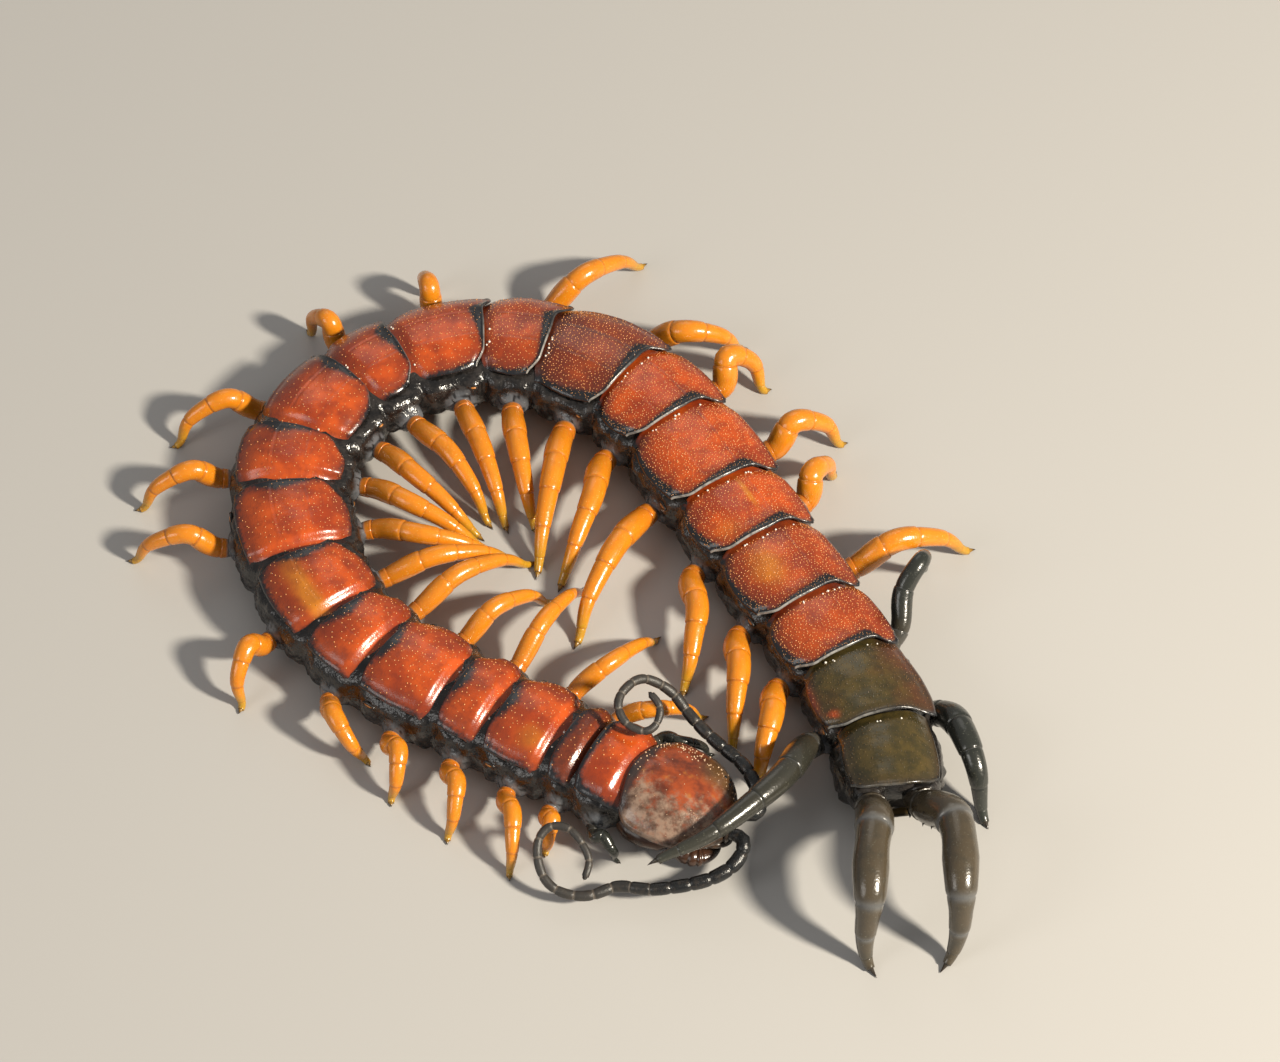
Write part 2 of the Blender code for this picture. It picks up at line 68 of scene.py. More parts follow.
# The body rings, and one section: crown, bulge of the flanks, and belly
HEAD_LENGTH = 7.1
PLATE_LENGTHS = (
    3.7, 2.1, 5.0, 3.8, 6.0, 4.4, 5.9, 6.4, 5.0, 6.2, 4.4,
    6.5, 4.9, 6.7, 5.4, 7.0, 5.5, 6.4, 5.4, 6.2, 5.6,
)
PLATE_HALF_WIDTHS = (
    3.5, 3.5, 3.7, 3.7, 3.8, 3.8, 3.8, 4.1, 4.0, 3.8, 3.8,
    3.8, 4.0, 4.2, 4.1, 4.2, 4.0, 3.9, 3.8, 3.6, 3.4,
)
PLATE_COUNT = len(PLATE_LENGTHS)
LAST_PLATE = PLATE_COUNT - 1
CROWN = 5.6
CROWN_DROP = 1.25
CROWN_POWER = 2.4
FLANK_BULGE = 0.35
INNER_BULGE = 0.75
BELLY = 0.85
BELLY_HALF_WIDTH = 0.68
# Gaps between neighbours: on a flat face, and where a limb bends away
GAP = 0.3
BENT_GAP = 0.36

# The body leans outwards along the far bend
ROLL = math.radians(8.0)
ROLL_CENTRE = 61.0
ROLL_REACH = 13.0
ROLL_AXIS_HEIGHT = 3.0

LEG_ROOT_HEIGHT = 1.85
# Standing legs: reach beyond the flank, sweep towards the head in degrees, bow, and height of the knee
LEFT_LEGS = (
    (4.4, 57, 0.3, 2.4), (7.0, 46, 0.3, 3.0), (9.4, 14, 0.5, 3.1), (10.4, 0, 0.0, 3.2),
    (8.6, 20, -0.3, 3.2), (10.8, 12, -0.3, 3.2), (10.7, 12, 0.1, 3.2), (10.3, 17, 0.9, 3.2),
    (10.4, 18, 0.6, 3.3), (10.3, 6, 0.5, 3.3), (9.9, -3, -0.2, 3.3), (10.5, -6, 0.0, 3.2),
    (10.2, -22, 0.3, 3.2), (12.6, -21, 0.1, 3.1), (11.5, -35, -0.3, 3.1), (12.3, -34, 0.5, 3.0),
    (9.9, -55, -0.4, 2.9), (9.4, -55, 0.0, 2.9), (8.2, -49, 0.0, 2.9),
)
RIGHT_LEGS = (
    (2.6, 80, -0.2, 2.2), (2.9, 20, 0.2, 2.4), (6.3, 32, 0.3, 2.9), (5.6, 28, 0.5, 2.9),
    (4.8, 31, 0.5, 2.9), (5.6, 74, -0.9, 3.0), (5.7, 36, -0.7, 3.4), (7.5, -12, 0.0, 3.4),
    (7.2, 21, -0.1, 3.4), (7.6, 49, -0.6, 3.4), (4.5, 10, 0.0, 3.6), (4.5, 0, 0.0, 3.6),
    (10.0, -38, 0.0, 3.4), (7.7, -50, -0.5, 3.4), (4.8, -17, 1.5, 3.6), (6.7, -9, 0.7, 3.6),
    (5.4, 29, 0.2, 3.4), (10.1, -11, 0.2, 3.6),
)
# Plan positions and heights along the legs that are held up
RAISED_LEGS = {
    ("right", 19): ((18.7, -8.4, 4.0), (19.8, -6.9, 5.3), (20.3, -4.8, 2.8), (20.5, -3.2, 0.14),
                    (20.5, -2.6, 0.07)),
    ("left", 20): ((10.4, -23.7, 4.4), (7.3, -27.5, 5.1), (4.0, -30.1, 4.9), (1.7, -31.0, 4.3),
                   (0.5, -31.4, 3.8)),
    ("right", 20): ((22.6, -20.8, 3.8), (23.4, -23.3, 3.0), (24.0, -25.5, 0.14),
                    (24.2, -26.0, 0.07)),
    ("left", 21): ((16.0, -29.0, 5.6), (15.6, -32.9, 6.2), (15.5, -35.1, 5.4), (15.8, -37.6, 0.14),
                   (16.1, -38.1, 0.07)),
    ("right", 21): ((21.2, -28.5, 5.6), (21.7, -32.1, 6.2), (21.7, -34.8, 5.2),
                    (20.7, -37.3, 0.14), (20.4, -37.7, 0.07)),
}
DARK_LEGS = {
    ("left", 1), ("right", 1), ("right", 19),
    ("left", 20), ("right", 20), ("left", 21), ("right", 21),
}
# Where a leg leaves its ring, by its sweep, and the share of the knee's height along its reach
ROOT_SHARES = ((-60, 0.77), (0, 0.56), (60, 0.36))
LEG_STANCE = ((0.36, 1.0), (0.6, 0.86), (0.82, 0.44))
# The first short joint: its length, and how far it turns and rises towards where the leg goes
TROCHANTER = 0.9
TROCHANTER_TURN = 0.65
TROCHANTER_RISE = 0.22
CLAW = 0.55
CLAW_HEIGHTS = (0.14, 0.07)
RAISED_SWEEP = -60
LAST_PAIR = 21
LAST_PAIR_SIDE = 1.75
LAST_PAIR_HEIGHT = 3.2
# By pair
LEG_THICKNESS = (
    (1, 0.5), (2, 0.74), (3, 0.78), (6, 0.85), (12, 0.92), (14, 1.02), (19, 1.05), (20, 1.15),
    (21, 1.0),
)

# Feelers: root as distance from the front of the head, side and height, then plan positions
ANTENNA_ROOT = ((-BENT_GAP, 0.95, 2.95), (-1.1, 1.1, 2.95))
LEFT_ANTENNA = (
    (8.3, -26.1, 3.0), (8.0, -24.5, 3.2), (7.1, -22.7, 3.3), (5.8, -21.5, 3.5), (4.4, -20.3, 4.0),
    (3.2, -19.0, 4.5), (2.4, -18.2, 5.2), (1.3, -17.8, 6.0), (0.1, -17.9, 6.7), (-0.9, -18.8, 7.0),
    (-1.5, -20.0, 6.9), (-1.2, -21.1, 6.5), (-0.3, -21.8, 6.2), (0.6, -21.9, 6.2),
    (1.3, -21.1, 6.5), (1.3, -20.2, 6.9), (0.7, -19.5, 7.2),
)
RIGHT_ANTENNA = (
    (7.0, -29.6, 2.7), (6.0, -30.8, 2.3), (4.4, -31.5, 2.0), (2.2, -31.9, 1.8), (0.2, -31.9, 1.6),
    (-1.7, -31.6, 1.4), (-3.0, -32.1, 1.3), (-4.7, -32.2, 1.3), (-6.3, -31.5, 1.7),
    (-7.0, -30.1, 2.5), (-7.0, -29.1, 3.1), (-6.3, -28.2, 3.6), (-5.0, -28.3, 3.7),
    (-3.9, -29.4, 3.2), (-3.5, -30.4, 2.7), (-3.8, -31.4, 2.2),
)
ANTENNA_RADII = ((0.0, 0.48), (0.1, 0.5), (0.35, 0.44), (0.6, 0.33), (1.0, 0.25))


# Curves

CURVE_STEPS = 24
RING_STEPS = 10


def columns(*values):
    """Arrays side by side, as the last axis of one."""
    return np.stack(values, axis=-1)


def unit(vectors):
    """The same directions, each of length 1."""
    return vectors / np.linalg.norm(vectors, axis=-1, keepdims=True)


def natural_spline(points, per_span):
    """Points along the smooth curve through the given points."""
    p = np.array(points, float)
    knots = np.concatenate([[0.0], np.cumsum(np.linalg.norm(np.diff(p, axis=0), axis=1))])
    count = len(p)
    span = np.diff(knots)
    system = np.eye(count)
    known = np.zeros_like(p)
    for i in range(1, count - 1):
        system[i, i - 1:i + 2] = span[i - 1], 2 * (span[i - 1] + span[i]), span[i]
        known[i] = 6 * ((p[i + 1] - p[i]) / span[i] - (p[i] - p[i - 1]) / span[i - 1])
    bend = np.linalg.solve(system, known)
    out = []
    for i in range(count - 1):
        for u in np.linspace(0, 1, per_span, endpoint=i == count - 2):
            w = 1 - u
            cubic = (w ** 3 - w) * bend[i] + (u ** 3 - u) * bend[i + 1]
            out.append(w * p[i] + u * p[i + 1] + span[i] ** 2 / 6 * cubic)
    return np.array(out)


class Path:
    """A smooth curve that is asked for points by the distance along it."""

    def __init__(self, points, per_span=CURVE_STEPS):
        self.points = natural_spline(points, per_span)
        steps = np.linalg.norm(np.diff(self.points, axis=0), axis=1)
        self.distances = np.concatenate([[0.0], np.cumsum(steps)])
        self.length = float(self.distances[-1])

    def at(self, distance):
        distance = np.asarray(distance, float)
        inside = np.clip(distance, 0.0, self.length)
        point = np.stack([np.interp(inside, self.distances, c) for c in self.points.T], axis=-1)
        beyond = distance - inside
        if np.any(beyond):
            point = point + beyond[..., None] * self.heading(inside)
        return point

    def heading(self, distance, step=0.6):
        inside = np.clip(distance, 0.0, self.length)
        before = np.maximum(inside - step, 0.0)
        after = np.minimum(inside + step, self.length)
        return unit(self.at(after) - self.at(before))

    def walk(self, count):
        """Evenly spaced points along the path, and the share of its length at each."""
        share = np.linspace(0, 1, count)
        return self.at(share * self.length), share


SPINE = Path(MIDLINE)
PLATE_STARTS = [HEAD_LENGTH + sum(PLATE_LENGTHS[:i]) for i in range(PLATE_COUNT)]
BODY_END = HEAD_LENGTH + sum(PLATE_LENGTHS)


def place(s, side, height):
    """Points at distances s along the midline, in millimetres."""
    s, side, height = np.broadcast_arrays(*(np.asarray(a, float) for a in (s, side, height)))
    centre = SPINE.at(s)
    tailward = SPINE.heading(s)
    roll = ROLL * np.exp(-(((s - ROLL_CENTRE) / ROLL_REACH) ** 2))
    rise = height - ROLL_AXIS_HEIGHT
    across = side * np.cos(roll) - rise * np.sin(roll)
    up = ROLL_AXIS_HEIGHT + side * np.sin(roll) + rise * np.cos(roll)
    x = centre[..., 0] + tailward[..., 1] * across - CENTRE[0]
    y = centre[..., 1] - tailward[..., 0] * across - CENTRE[1]
    return columns(x, y, up)


def body_path(stations, side_sign):
    """A path on one side, through points given as distance along the body, side and height."""
    return Path([place(s, side_sign * side, height) for s, side, height in stations])


def closed_ring(outline, count):
    """Evenly spaced points round the smooth closed curve through an outline."""
    loop = Path(outline + outline[:1], RING_STEPS)
    return loop.at(loop.length * np.arange(count) / count)


def blend(value, stations):
    """Straight-line reading of a table of (position, value) pairs."""
    return np.interp(value, [a for a, _ in stations], [b for _, b in stations])


def smooth(value, low, high):
    """Rises smoothly from 0 at low to 1 at high."""
    t = np.clip((np.asarray(value, float) - low) / (high - low), 0.0, 1.0)
    return t * t * (3 - 2 * t)


def bell(value, centre, width):
    return np.exp(-(((value - centre) / width) ** 2))


def inner_bend(s):
    return bell(s, ROLL_CENTRE, 1.6 * ROLL_REACH)


def flank_side(s, side_sign, half_width):
    """How far out the flank stands, on the left for +1 and on the right for -1."""
    inner = np.where(np.asarray(side_sign) > 0, (INNER_BULGE - FLANK_BULGE) * inner_bend(s), 0.0)
    return half_width + FLANK_BULGE + inner


def ripple(points, wavelength, seed, count=20):
    """Smooth made-up unevenness between about -1 and 1, from a sum of seeded waves."""
    draw = np.random.default_rng(seed)
    directions = draw.normal(size=(count, 3))
    directions *= 2 * math.pi / wavelength / np.linalg.norm(directions, axis=1)[:, None]
    directions *= draw.uniform(0.6, 1.4, (count, 1))
    phases = draw.uniform(0, 2 * math.pi, count)
    return np.sin(points @ directions.T + phases).sum(axis=-1) / math.sqrt(count) / 1.4


# Gathering meshes

class Shape:
    """Points in millimetres, each with a place and a tint for its material, and their faces."""

    def __init__(self):
        self.points = []
        self.places = []
        self.tints = []
        self.faces = []
        self.count = 0

    def add(self, points, faces, places=(0.0, 0.0, 0.0), tints=(0.0, 0.0, 0.0)):
        points = np.reshape(points, (-1, 3))
        self.points.append(points)
        self.places.append(np.broadcast_to(np.reshape(places, (-1, 3)), points.shape))
        self.tints.append(np.broadcast_to(np.reshape(tints, (-1, 3)), points.shape))
        self.faces += [(np.asarray(group) + self.count).tolist() for group in faces]
        self.count += len(points)

    def make(self, name, material, slot, replaces=()):
        """Turn what was gathered into a piece that rides on the animal."""
        mesh = bpy.data.meshes.new(name)
        mesh.from_pydata((np.concatenate(self.points) * MM).tolist(), [],
                         [face for group in self.faces for face in group])
        for word, values in (("place", self.places), ("tint", self.tints)):
            layer = mesh.attributes.new(word, "FLOAT_VECTOR", "POINT")
            layer.data.foreach_set("vector", np.concatenate(values).astype(np.float32).ravel())
        maker = bmesh.new()
        maker.from_mesh(mesh)
        bmesh.ops.recalc_face_normals(maker, faces=maker.faces)
        maker.to_mesh(mesh)
        maker.free()
        mesh.shade_smooth()
        mesh.materials.append(material)
        made = bpy.data.objects.new(name, mesh)
        bpy.context.scene.collection.objects.link(made)
        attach(made, BODY)
        if replaces:
            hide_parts(*replaces)


def tube_faces(rings, sides):
    """Faces of a closed tube: quads between rings and one flat face on each end."""
    index = np.arange(rings * sides).reshape(rings, sides)
    after = np.roll(index, -1, axis=1)
    quads = columns(index[:-1], after[:-1], after[1:], index[1:]).reshape(-1, 4)
    return [quads, index[:1, ::-1], index[-1:]]


def sheet_faces(rows, lines):
    """Faces of a plate whose two sides share their border, and the flags of its lower points."""
    upper = np.arange(rows * lines).reshape(rows, lines)
    inner = np.zeros((rows, lines), bool)
    inner[1:-1, 1:-1] = True
    lower = upper.copy()
    lower[inner] = rows * lines + np.arange(inner.sum())
    groups = []
    for grid, step in ((upper, 1), (lower, -1)):
        corners = [grid[:-1, :-1], grid[1:, :-1], grid[1:, 1:], grid[:-1, 1:]][::step]
        groups.append(np.stack(corners, axis=-1).reshape(-1, 4))
    return groups, inner


# Distances from an edge at which a plate has rows of points
EDGE_STEPS = (0.0, 0.012, 0.04, 0.08, 0.13, 0.19, 0.26, 0.34, 0.44)


def shares(length, spacing):
    """Shares of a length, close together at both ends and evenly spaced between."""
    edge = [d for d in EDGE_STEPS if d < 0.3 * length]
    inside = length - 2 * edge[-1]
    count = max(int(round(inside / spacing)), 2)
    middle = edge[-1] + inside * np.arange(1, count) / count
    return np.concatenate([edge, middle, length - np.array(edge[::-1])]) / length


def rolled(distance, radius):
    """Rounding of an edge: 1 at the edge and 0 from the radius inwards, along a quarter circle."""
    t = 1 - np.clip(distance / radius, 0.0, 1.0)
    return 1 - np.sqrt(1 - t * t)


def add_sheet(shape, surface, length, half_width, spacing):
    """A closed plate from surface(u, v, face), where face is 1 above and -1 below."""
    across = shares(2 * half_width, spacing[1]) * 2 - 1
    u, v = np.meshgrid(shares(length, spacing[0]), across, indexing="ij")
    groups, inner = sheet_faces(*u.shape)
    above = [a.reshape(-1, 3) for a in surface(u, v, 1)]
    below = [a[inner].reshape(-1, 3) for a in surface(u, v, -1)]
    points, places, tints = (np.concatenate(pair) for pair in zip(above, below))
    shape.add(points, groups, places, tints)


# A granule: sides, then reach and rise of its rings, rise of its top, and depth below the surface
GRAIN_SIDES = 6
GRAIN_LEVELS = ((0.62, 0.72), (1.0, 0.0))
GRAIN_TOP = 0.95
GRAIN_ROOT = 0.5
SURFACE_NUDGE = 0.002


def add_grains(shape, surface, u, v, radii, pale):
    """Small domes sunk in a surface, each a little closed mesh, and how pale they are: on granules
    partly their own paler colour and partly a painted glint, on drops wholly a painted glint.
    """
    points, places, tints = surface(u, v, 1)
    along = unit(surface(u + SURFACE_NUDGE, v, 1)[0] - points)
    normal = unit(np.cross(along, surface(u, v + SURFACE_NUDGE, 1)[0] - points))
    normal *= np.sign(normal[:, 2:])
    across = np.cross(normal, along)
    radii = radii[:, None]
    corners = [points + normal * radii * GRAIN_TOP]
    for reach, rise in GRAIN_LEVELS:
        for i in range(GRAIN_SIDES):
            angle = 2 * math.pi * i / GRAIN_SIDES
            aside = along * math.cos(angle) + across * math.sin(angle)
            corners.append(points + radii * (aside * reach + normal * (rise * 0.9 - 0.05)))
    corners.append(points - normal * radii * GRAIN_ROOT)
    count = len(corners)
    ring = np.arange(GRAIN_SIDES)
    after = (ring + 1) % GRAIN_SIDES
    first = 1
    second = 1 + GRAIN_SIDES
    top = columns(np.zeros_like(ring), first + ring, first + after)
    walls = columns(first + ring, second + ring, second + after, first + after)
    base = columns(second + ring, np.full_like(ring, count - 1), second + after)
    starts = (np.arange(len(points)) * count)[:, None, None]
    faces = [(group[None] + starts).reshape(-1, group.shape[1]) for group in (top, walls, base)]
    tints[:, 1] = pale
    shape.add(np.stack(corners, axis=1), faces, np.repeat(places, count, axis=0),
              np.repeat(tints, count, axis=0))


CONE_TAPER = (1.0, 0.86, 0.62, 0.34, 0.05)


def cone(shape, root, tip, radius, tint=(0.0, 0.0, 0.0), sides=6):
    """A short spine from root to tip."""
    points = root + (tip - root) * np.linspace(0, 1, len(CONE_TAPER))[:, None]
    add_tube(shape, points, radius * np.array(CONE_TAPER), sides, tints=tint)


def frames(points):
    """Directions along a run of points, and one across each that turns as little as it can."""
    steps = unit(np.diff(points, axis=0))
    axes = unit(np.concatenate([steps[:1], steps[:-1] + steps[1:], steps[-1:]]))
    across = np.cross(axes[0], (0.0, 0.0, 1.0))
    if np.linalg.norm(across) < 1e-3:
        across = np.array([1.0, 0.0, 0.0])
    turned = []
    for axis in axes:
        across = unit(across - axis * (across @ axis))
        turned.append(across)
    return axes, np.array(turned)


def tube_points(points, radii, sides, squeeze=1.0):
    axes, across = frames(points)
    second = np.cross(axes, across)
    angles = 2 * math.pi * (np.arange(sides) + 0.5) / sides
    offset = across[:, None] * np.cos(angles)[:, None]
    offset = offset + second[:, None] * np.sin(angles)[:, None] * squeeze
    ring = points[:, None] + offset * np.asarray(radii)[:, None, None]
    ring[..., 2] = np.maximum(ring[..., 2], 0.0)
    return ring


def add_tube(shape, points, radii, sides, squeeze=1.0, places=(0.0, 0.0, 0.0), tints=(0.0, 0.0, 0.0)):
    """A closed tube, with a place and a tint for the whole of it or for each of its points."""
    ring = tube_points(points, radii, sides, squeeze)
    words = [np.repeat(np.zeros((len(ring), 3)) + word, sides, axis=0) for word in (places, tints)]
    shape.add(ring, tube_faces(len(ring), sides), *words)


# Materials

COAT_ROUGHNESS = 0.14
FLESH_RADIUS = (1.0, 0.35, 0.12)
FLESH_SCALE = 0.5


class Finish:
    """A node-based material, built step by step. Every coordinate is in millimetres."""

    def __init__(self, name, roughness, shine=0.55, depth=0.0, coat=0.0):
        self.material = bpy.data.materials.new(name)
        self.material.use_nodes = True
        self.tree = self.material.node_tree
        self.shader = self.tree.nodes["Principled BSDF"]
        settings = {"Roughness": roughness, "Specular IOR Level": shine, "Coat Weight": coat,
                    "Coat Roughness": COAT_ROUGHNESS}
        if depth:
            settings |= {"Subsurface Weight": depth, "Subsurface Radius": FLESH_RADIUS,
                         "Subsurface Scale": FLESH_SCALE * MM}
        for word, value in settings.items():
            self.shader.inputs[word].default_value = value
        scale = self.new("ShaderNodeVectorMath", operation="SCALE")
        self.join(self.new("ShaderNodeTexCoord").outputs["Object"], scale.inputs[0])
        scale.inputs["Scale"].default_value = 1 / MM
        self.spot = scale.outputs[0]

    def new(self, kind, **settings):
        node = self.tree.nodes.new(kind)
        for word, value in settings.items():
            setattr(node, word, value)
        return node

    def join(self, value, socket):
        """Feed a socket with another socket, or with a number or colour."""
        if isinstance(value, bpy.types.NodeSocket):
            self.tree.links.new(value, socket)
        elif isinstance(value, tuple):
            socket.default_value = (*value, 1.0)
        else:
            socket.default_value = value

    def parts(self, attribute):
        """The three numbers of a point's place or tint."""
        reader = self.new("ShaderNodeAttribute", attribute_name=attribute)
        split = self.new("ShaderNodeSeparateXYZ")
        self.join(reader.outputs["Vector"], split.inputs[0])
        return split.outputs[0], split.outputs[1], split.outputs[2]

    def maths(self, operation, first, second=0.0, third=0.0):
        node = self.new("ShaderNodeMath", operation=operation)
        for value, socket in zip((first, second, third), node.inputs):
            self.join(value, socket)
        return node.outputs[0]

    def plus(self, first, second):
        return self.maths("ADD", first, second)

    def times(self, first, second):
        return self.maths("MULTIPLY", first, second)

    def scaled(self, value, factor, offset):
        """A value times a factor, plus an offset."""
        return self.maths("MULTIPLY_ADD", value, factor, offset)

    def rise(self, value, low, high, to_low=0.0, to_high=1.0):
        """Goes smoothly from to_low, where the value is low, to to_high, where it is high."""
        node = self.new("ShaderNodeMapRange", interpolation_type="SMOOTHSTEP")
        for item, word in ((value, "Value"), (low, "From Min"), (high, "From Max"),
                           (to_low, "To Min"), (to_high, "To Max")):
            self.join(item, node.inputs[word])
        return node.outputs["Result"]

    def mix(self, share, first, second):
        """From the first colour, at a share of 0, to the second, at 1."""
        node = self.new("ShaderNodeMix", data_type="RGBA")
        self.join(share, node.inputs["Factor"])
        self.join(first, node.inputs[6])
        self.join(second, node.inputs[7])
        return node.outputs[2]

    def noise(self, wavelength, detail=3.0, roughness=0.55, distortion=0.0):
        node = self.new("ShaderNodeTexNoise")
        for item, word in ((self.spot, "Vector"), (1 / wavelength, "Scale"), (detail, "Detail"),
                           (roughness, "Roughness"), (distortion, "Distortion")):
            self.join(item, node.inputs[word])
        return node.outputs["Fac"]

    def cells(self, size):
        node = self.new("ShaderNodeTexVoronoi")
        self.join(self.spot, node.inputs["Vector"])
        self.join(1 / size, node.inputs["Scale"])
        return node.outputs["Distance"]

    def relief(self, *layers):
        """Bump layers, each a height and how deep it goes in millimetres."""
        normal = None
        for height, depth in layers:
            node = self.new("ShaderNodeBump")
            for item, word in ((1.0, "Strength"), (depth * MM, "Distance"), (height, "Height")):
                self.join(item, node.inputs[word])
            if normal is not None:
                self.join(normal, node.inputs["Normal"])
            normal = node.outputs[0]
        self.join(normal, self.shader.inputs["Normal"])

    def colour(self, value):
        self.join(value, self.shader.inputs["Base Color"])

    def rough(self, value):
        self.join(value, self.shader.inputs["Roughness"])


def plate_finish():
    """Back plates: place is distance from the rear edge, from the side edge, and how strong the painted
    highlight on the rear rim is; tint is how olive, how dark or, below zero, how pale, and the distance
    inside the black. The rim's pale grey is a painted highlight, the whitish drops are a painted glint,
    the granules' pale is partly their own colour and partly a painted glint, and the darker front of
    each plate is painted shade."""
    f = Finish("back_plate", 0.3, coat=0.28)
    rear, side, rim_highlight = f.parts("place")
    olive, dark, inside = f.parts("tint")
    broad = f.noise(2.8, 3.0)
    blotch = f.noise(0.9, 4.0, 0.6)
    fine = f.noise(0.16, 2.0)
    red = f.mix(f.rise(broad, 0.36, 0.62), (0.34, 0.042, 0.007), (0.58, 0.086, 0.009))
    red = f.mix(f.rise(blotch, 0.42, 0.72, 0.0, 0.5), red, (0.19, 0.024, 0.008))
    green = f.mix(f.rise(blotch, 0.35, 0.7), (0.040, 0.032, 0.010), (0.082, 0.056, 0.012))
    green = f.mix(f.rise(side, 0.4, 0.05, 0.0, 0.7), green, (0.045, 0.026, 0.016))
    tone = f.mix(f.rise(f.plus(olive, f.scaled(broad, 0.5, -0.25)), 0.15, 0.85), red, green)
    yellow = f.mix(f.rise(blotch, 0.3, 0.6, 0.0, 0.35), (0.58, 0.19, 0.014), (0.40, 0.125, 0.013))
    gold = f.times(f.rise(olive, -0.05, -0.9), f.rise(broad, 0.3, 0.55, 0.5, 1.0))
    tone = f.mix(gold, tone, yellow)
    edge = f.rise(f.scaled(blotch, 0.8, inside), -0.7, 0.4, 0.0, 0.55)
    edging = f.mix(f.rise(olive, 0.1, 0.5), (0.13, 0.022, 0.008), (0.045, 0.030, 0.016))
    tone = f.mix(edge, tone, edging)
    shade = f.plus(dark, f.scaled(fine, 0.3, -0.15))
    tone = f.mix(f.rise(shade, 0.0, 1.0), tone, (0.014, 0.012, 0.011))
    ragged = f.scaled(f.noise(0.35, 3.0, 0.7), 0.5, inside)
    black = f.rise(ragged, 0.08, 0.42)
    tone = f.mix(black, tone, (0.010, 0.011, 0.014))
    # Painted highlight: the rear rim turns pale grey where it would catch the light, by plate and across
    # the plate
    rim = f.times(f.rise(rear, 0.14, 0.07), f.rise(f.noise(0.5, 2.0), 0.3, 0.6, 0.4, 1.0))
    tone = f.mix(f.times(rim, rim_highlight), tone, (0.34, 0.33, 0.31))
    # Granules paler than the plate around them: partly their own colour, partly a painted glint
    grain = f.rise(dark, -0.4, -1.0, 0.0, 0.95)
    grain = f.times(grain, f.rise(f.noise(0.6, 2.0), 0.35, 0.6, 0.65, 1.0))
    grain = f.times(grain, f.rise(black, 0.0, 1.0, 1.0, 0.5))
    grain = f.times(grain, f.rise(olive, 0.3, 0.9, 1.0, 0.22))
    tone = f.mix(grain, tone, (0.80, 0.38, 0.14))
    # Whitish drops: a painted glint of light
    tone = f.mix(f.rise(dark, -1.6, -2.0), tone, (0.86, 0.80, 0.72))
    f.colour(tone)
    f.rough(f.scaled(blotch, 0.26, 0.14))
    f.relief((f.noise(0.7, 3.0), 0.03), (f.cells(0.13), 0.008), (fine, 0.005))
    return f.material


def head_finish():
    """Head plate: place is distance from the rear edge; tint is how much painted grey sheen, how dark
    or, below zero, how pale, and how olive. The grey sheen is painted reflected light."""
    f = Finish("head_shell", 0.32, coat=0.35)
    rear, _, _ = f.parts("place")
    painted_sheen, dark, olive = f.parts("tint")
    broad = f.noise(1.7, 3.0)
    blotch = f.noise(0.8, 4.0, 0.6)
    fine = f.noise(0.16, 2.0)
    brown = f.mix(f.rise(broad, 0.35, 0.62), (0.10, 0.021, 0.009), (0.34, 0.062, 0.014))
    brown = f.mix(f.rise(blotch, 0.55, 0.72, 0.0, 0.7), brown, (0.40, 0.135, 0.022))
    brown = f.mix(f.rise(f.scaled(broad, 0.8, olive), 0.6, 1.1, 0.0, 0.8), brown,
                  (0.10, 0.062, 0.020))
    # Painted sheen: warm grey standing for light reflected off the head, spread by blotches
    sheen_grey = f.mix(f.rise(blotch, 0.35, 0.65), (0.085, 0.045, 0.028), (0.30, 0.20, 0.145))
    mottle = f.scaled(f.noise(0.45, 4.0, 0.65), 1.5, -0.85)
    sheen_spread = f.plus(f.plus(painted_sheen, mottle), f.times(blotch, 0.3))
    tone = f.mix(f.rise(sheen_spread, 0.2, 0.9), brown, sheen_grey)
    tone = f.mix(f.rise(f.plus(dark, f.scaled(fine, 0.3, -0.15)), 0.0, 1.0),
                 tone, (0.018, 0.016, 0.014))
    ragged = f.scaled(f.noise(0.5, 3.0, 0.7), -0.5, rear)
    tone = f.mix(f.rise(ragged, 0.75, 0.3, 0.0, 0.92), tone, (0.022, 0.020, 0.020))
    # Pale granules of the head: partly their own colour, partly a painted glint
    tone = f.mix(f.rise(dark, -0.4, -1.0), tone, (0.66, 0.45, 0.28))
    f.colour(tone)
    f.rough(f.scaled(blotch, 0.24, 0.15))
    f.relief((f.noise(0.6, 3.0), 0.03), (f.cells(0.13), 0.008), (fine, 0.005))
    return f.material


def skin_finish():
    """Soft skin of the flanks: tint is how pale near the legs, how much painted shade lies in the
    creases and at the seams between rings, and belly.
    """
    f = Finish("flank_skin", 0.28, shine=0.6)
    pale, crease_shade, belly = f.parts("tint")
    blotch = f.noise(0.8, 4.0, 0.65)
    fine = f.noise(0.12, 3.0)
    tone = f.mix(f.rise(blotch, 0.35, 0.65), (0.008, 0.0075, 0.0075), (0.030, 0.026, 0.024))
    tone = f.mix(f.rise(f.scaled(blotch, 0.8, f.maths("SUBTRACT", pale, 0.45)), 0.2, 0.9),
                 tone, (0.115, 0.122, 0.135))
    tone = f.mix(f.rise(belly, 0.2, 0.9, 0.0, 0.8), tone, (0.10, 0.072, 0.035))
    # Painted shade: near black in the creases between lumps and at the seams between rings
    tone = f.mix(f.rise(crease_shade, 0.3, 0.9, 0.0, 0.9), tone, (0.006, 0.005, 0.005))
    f.colour(tone)
    f.rough(f.scaled(fine, 0.2, 0.12))
    f.relief((f.noise(0.45, 3.0, distortion=0.4), 0.05), (f.cells(0.18), 0.02), (fine, 0.008))
    return f.material


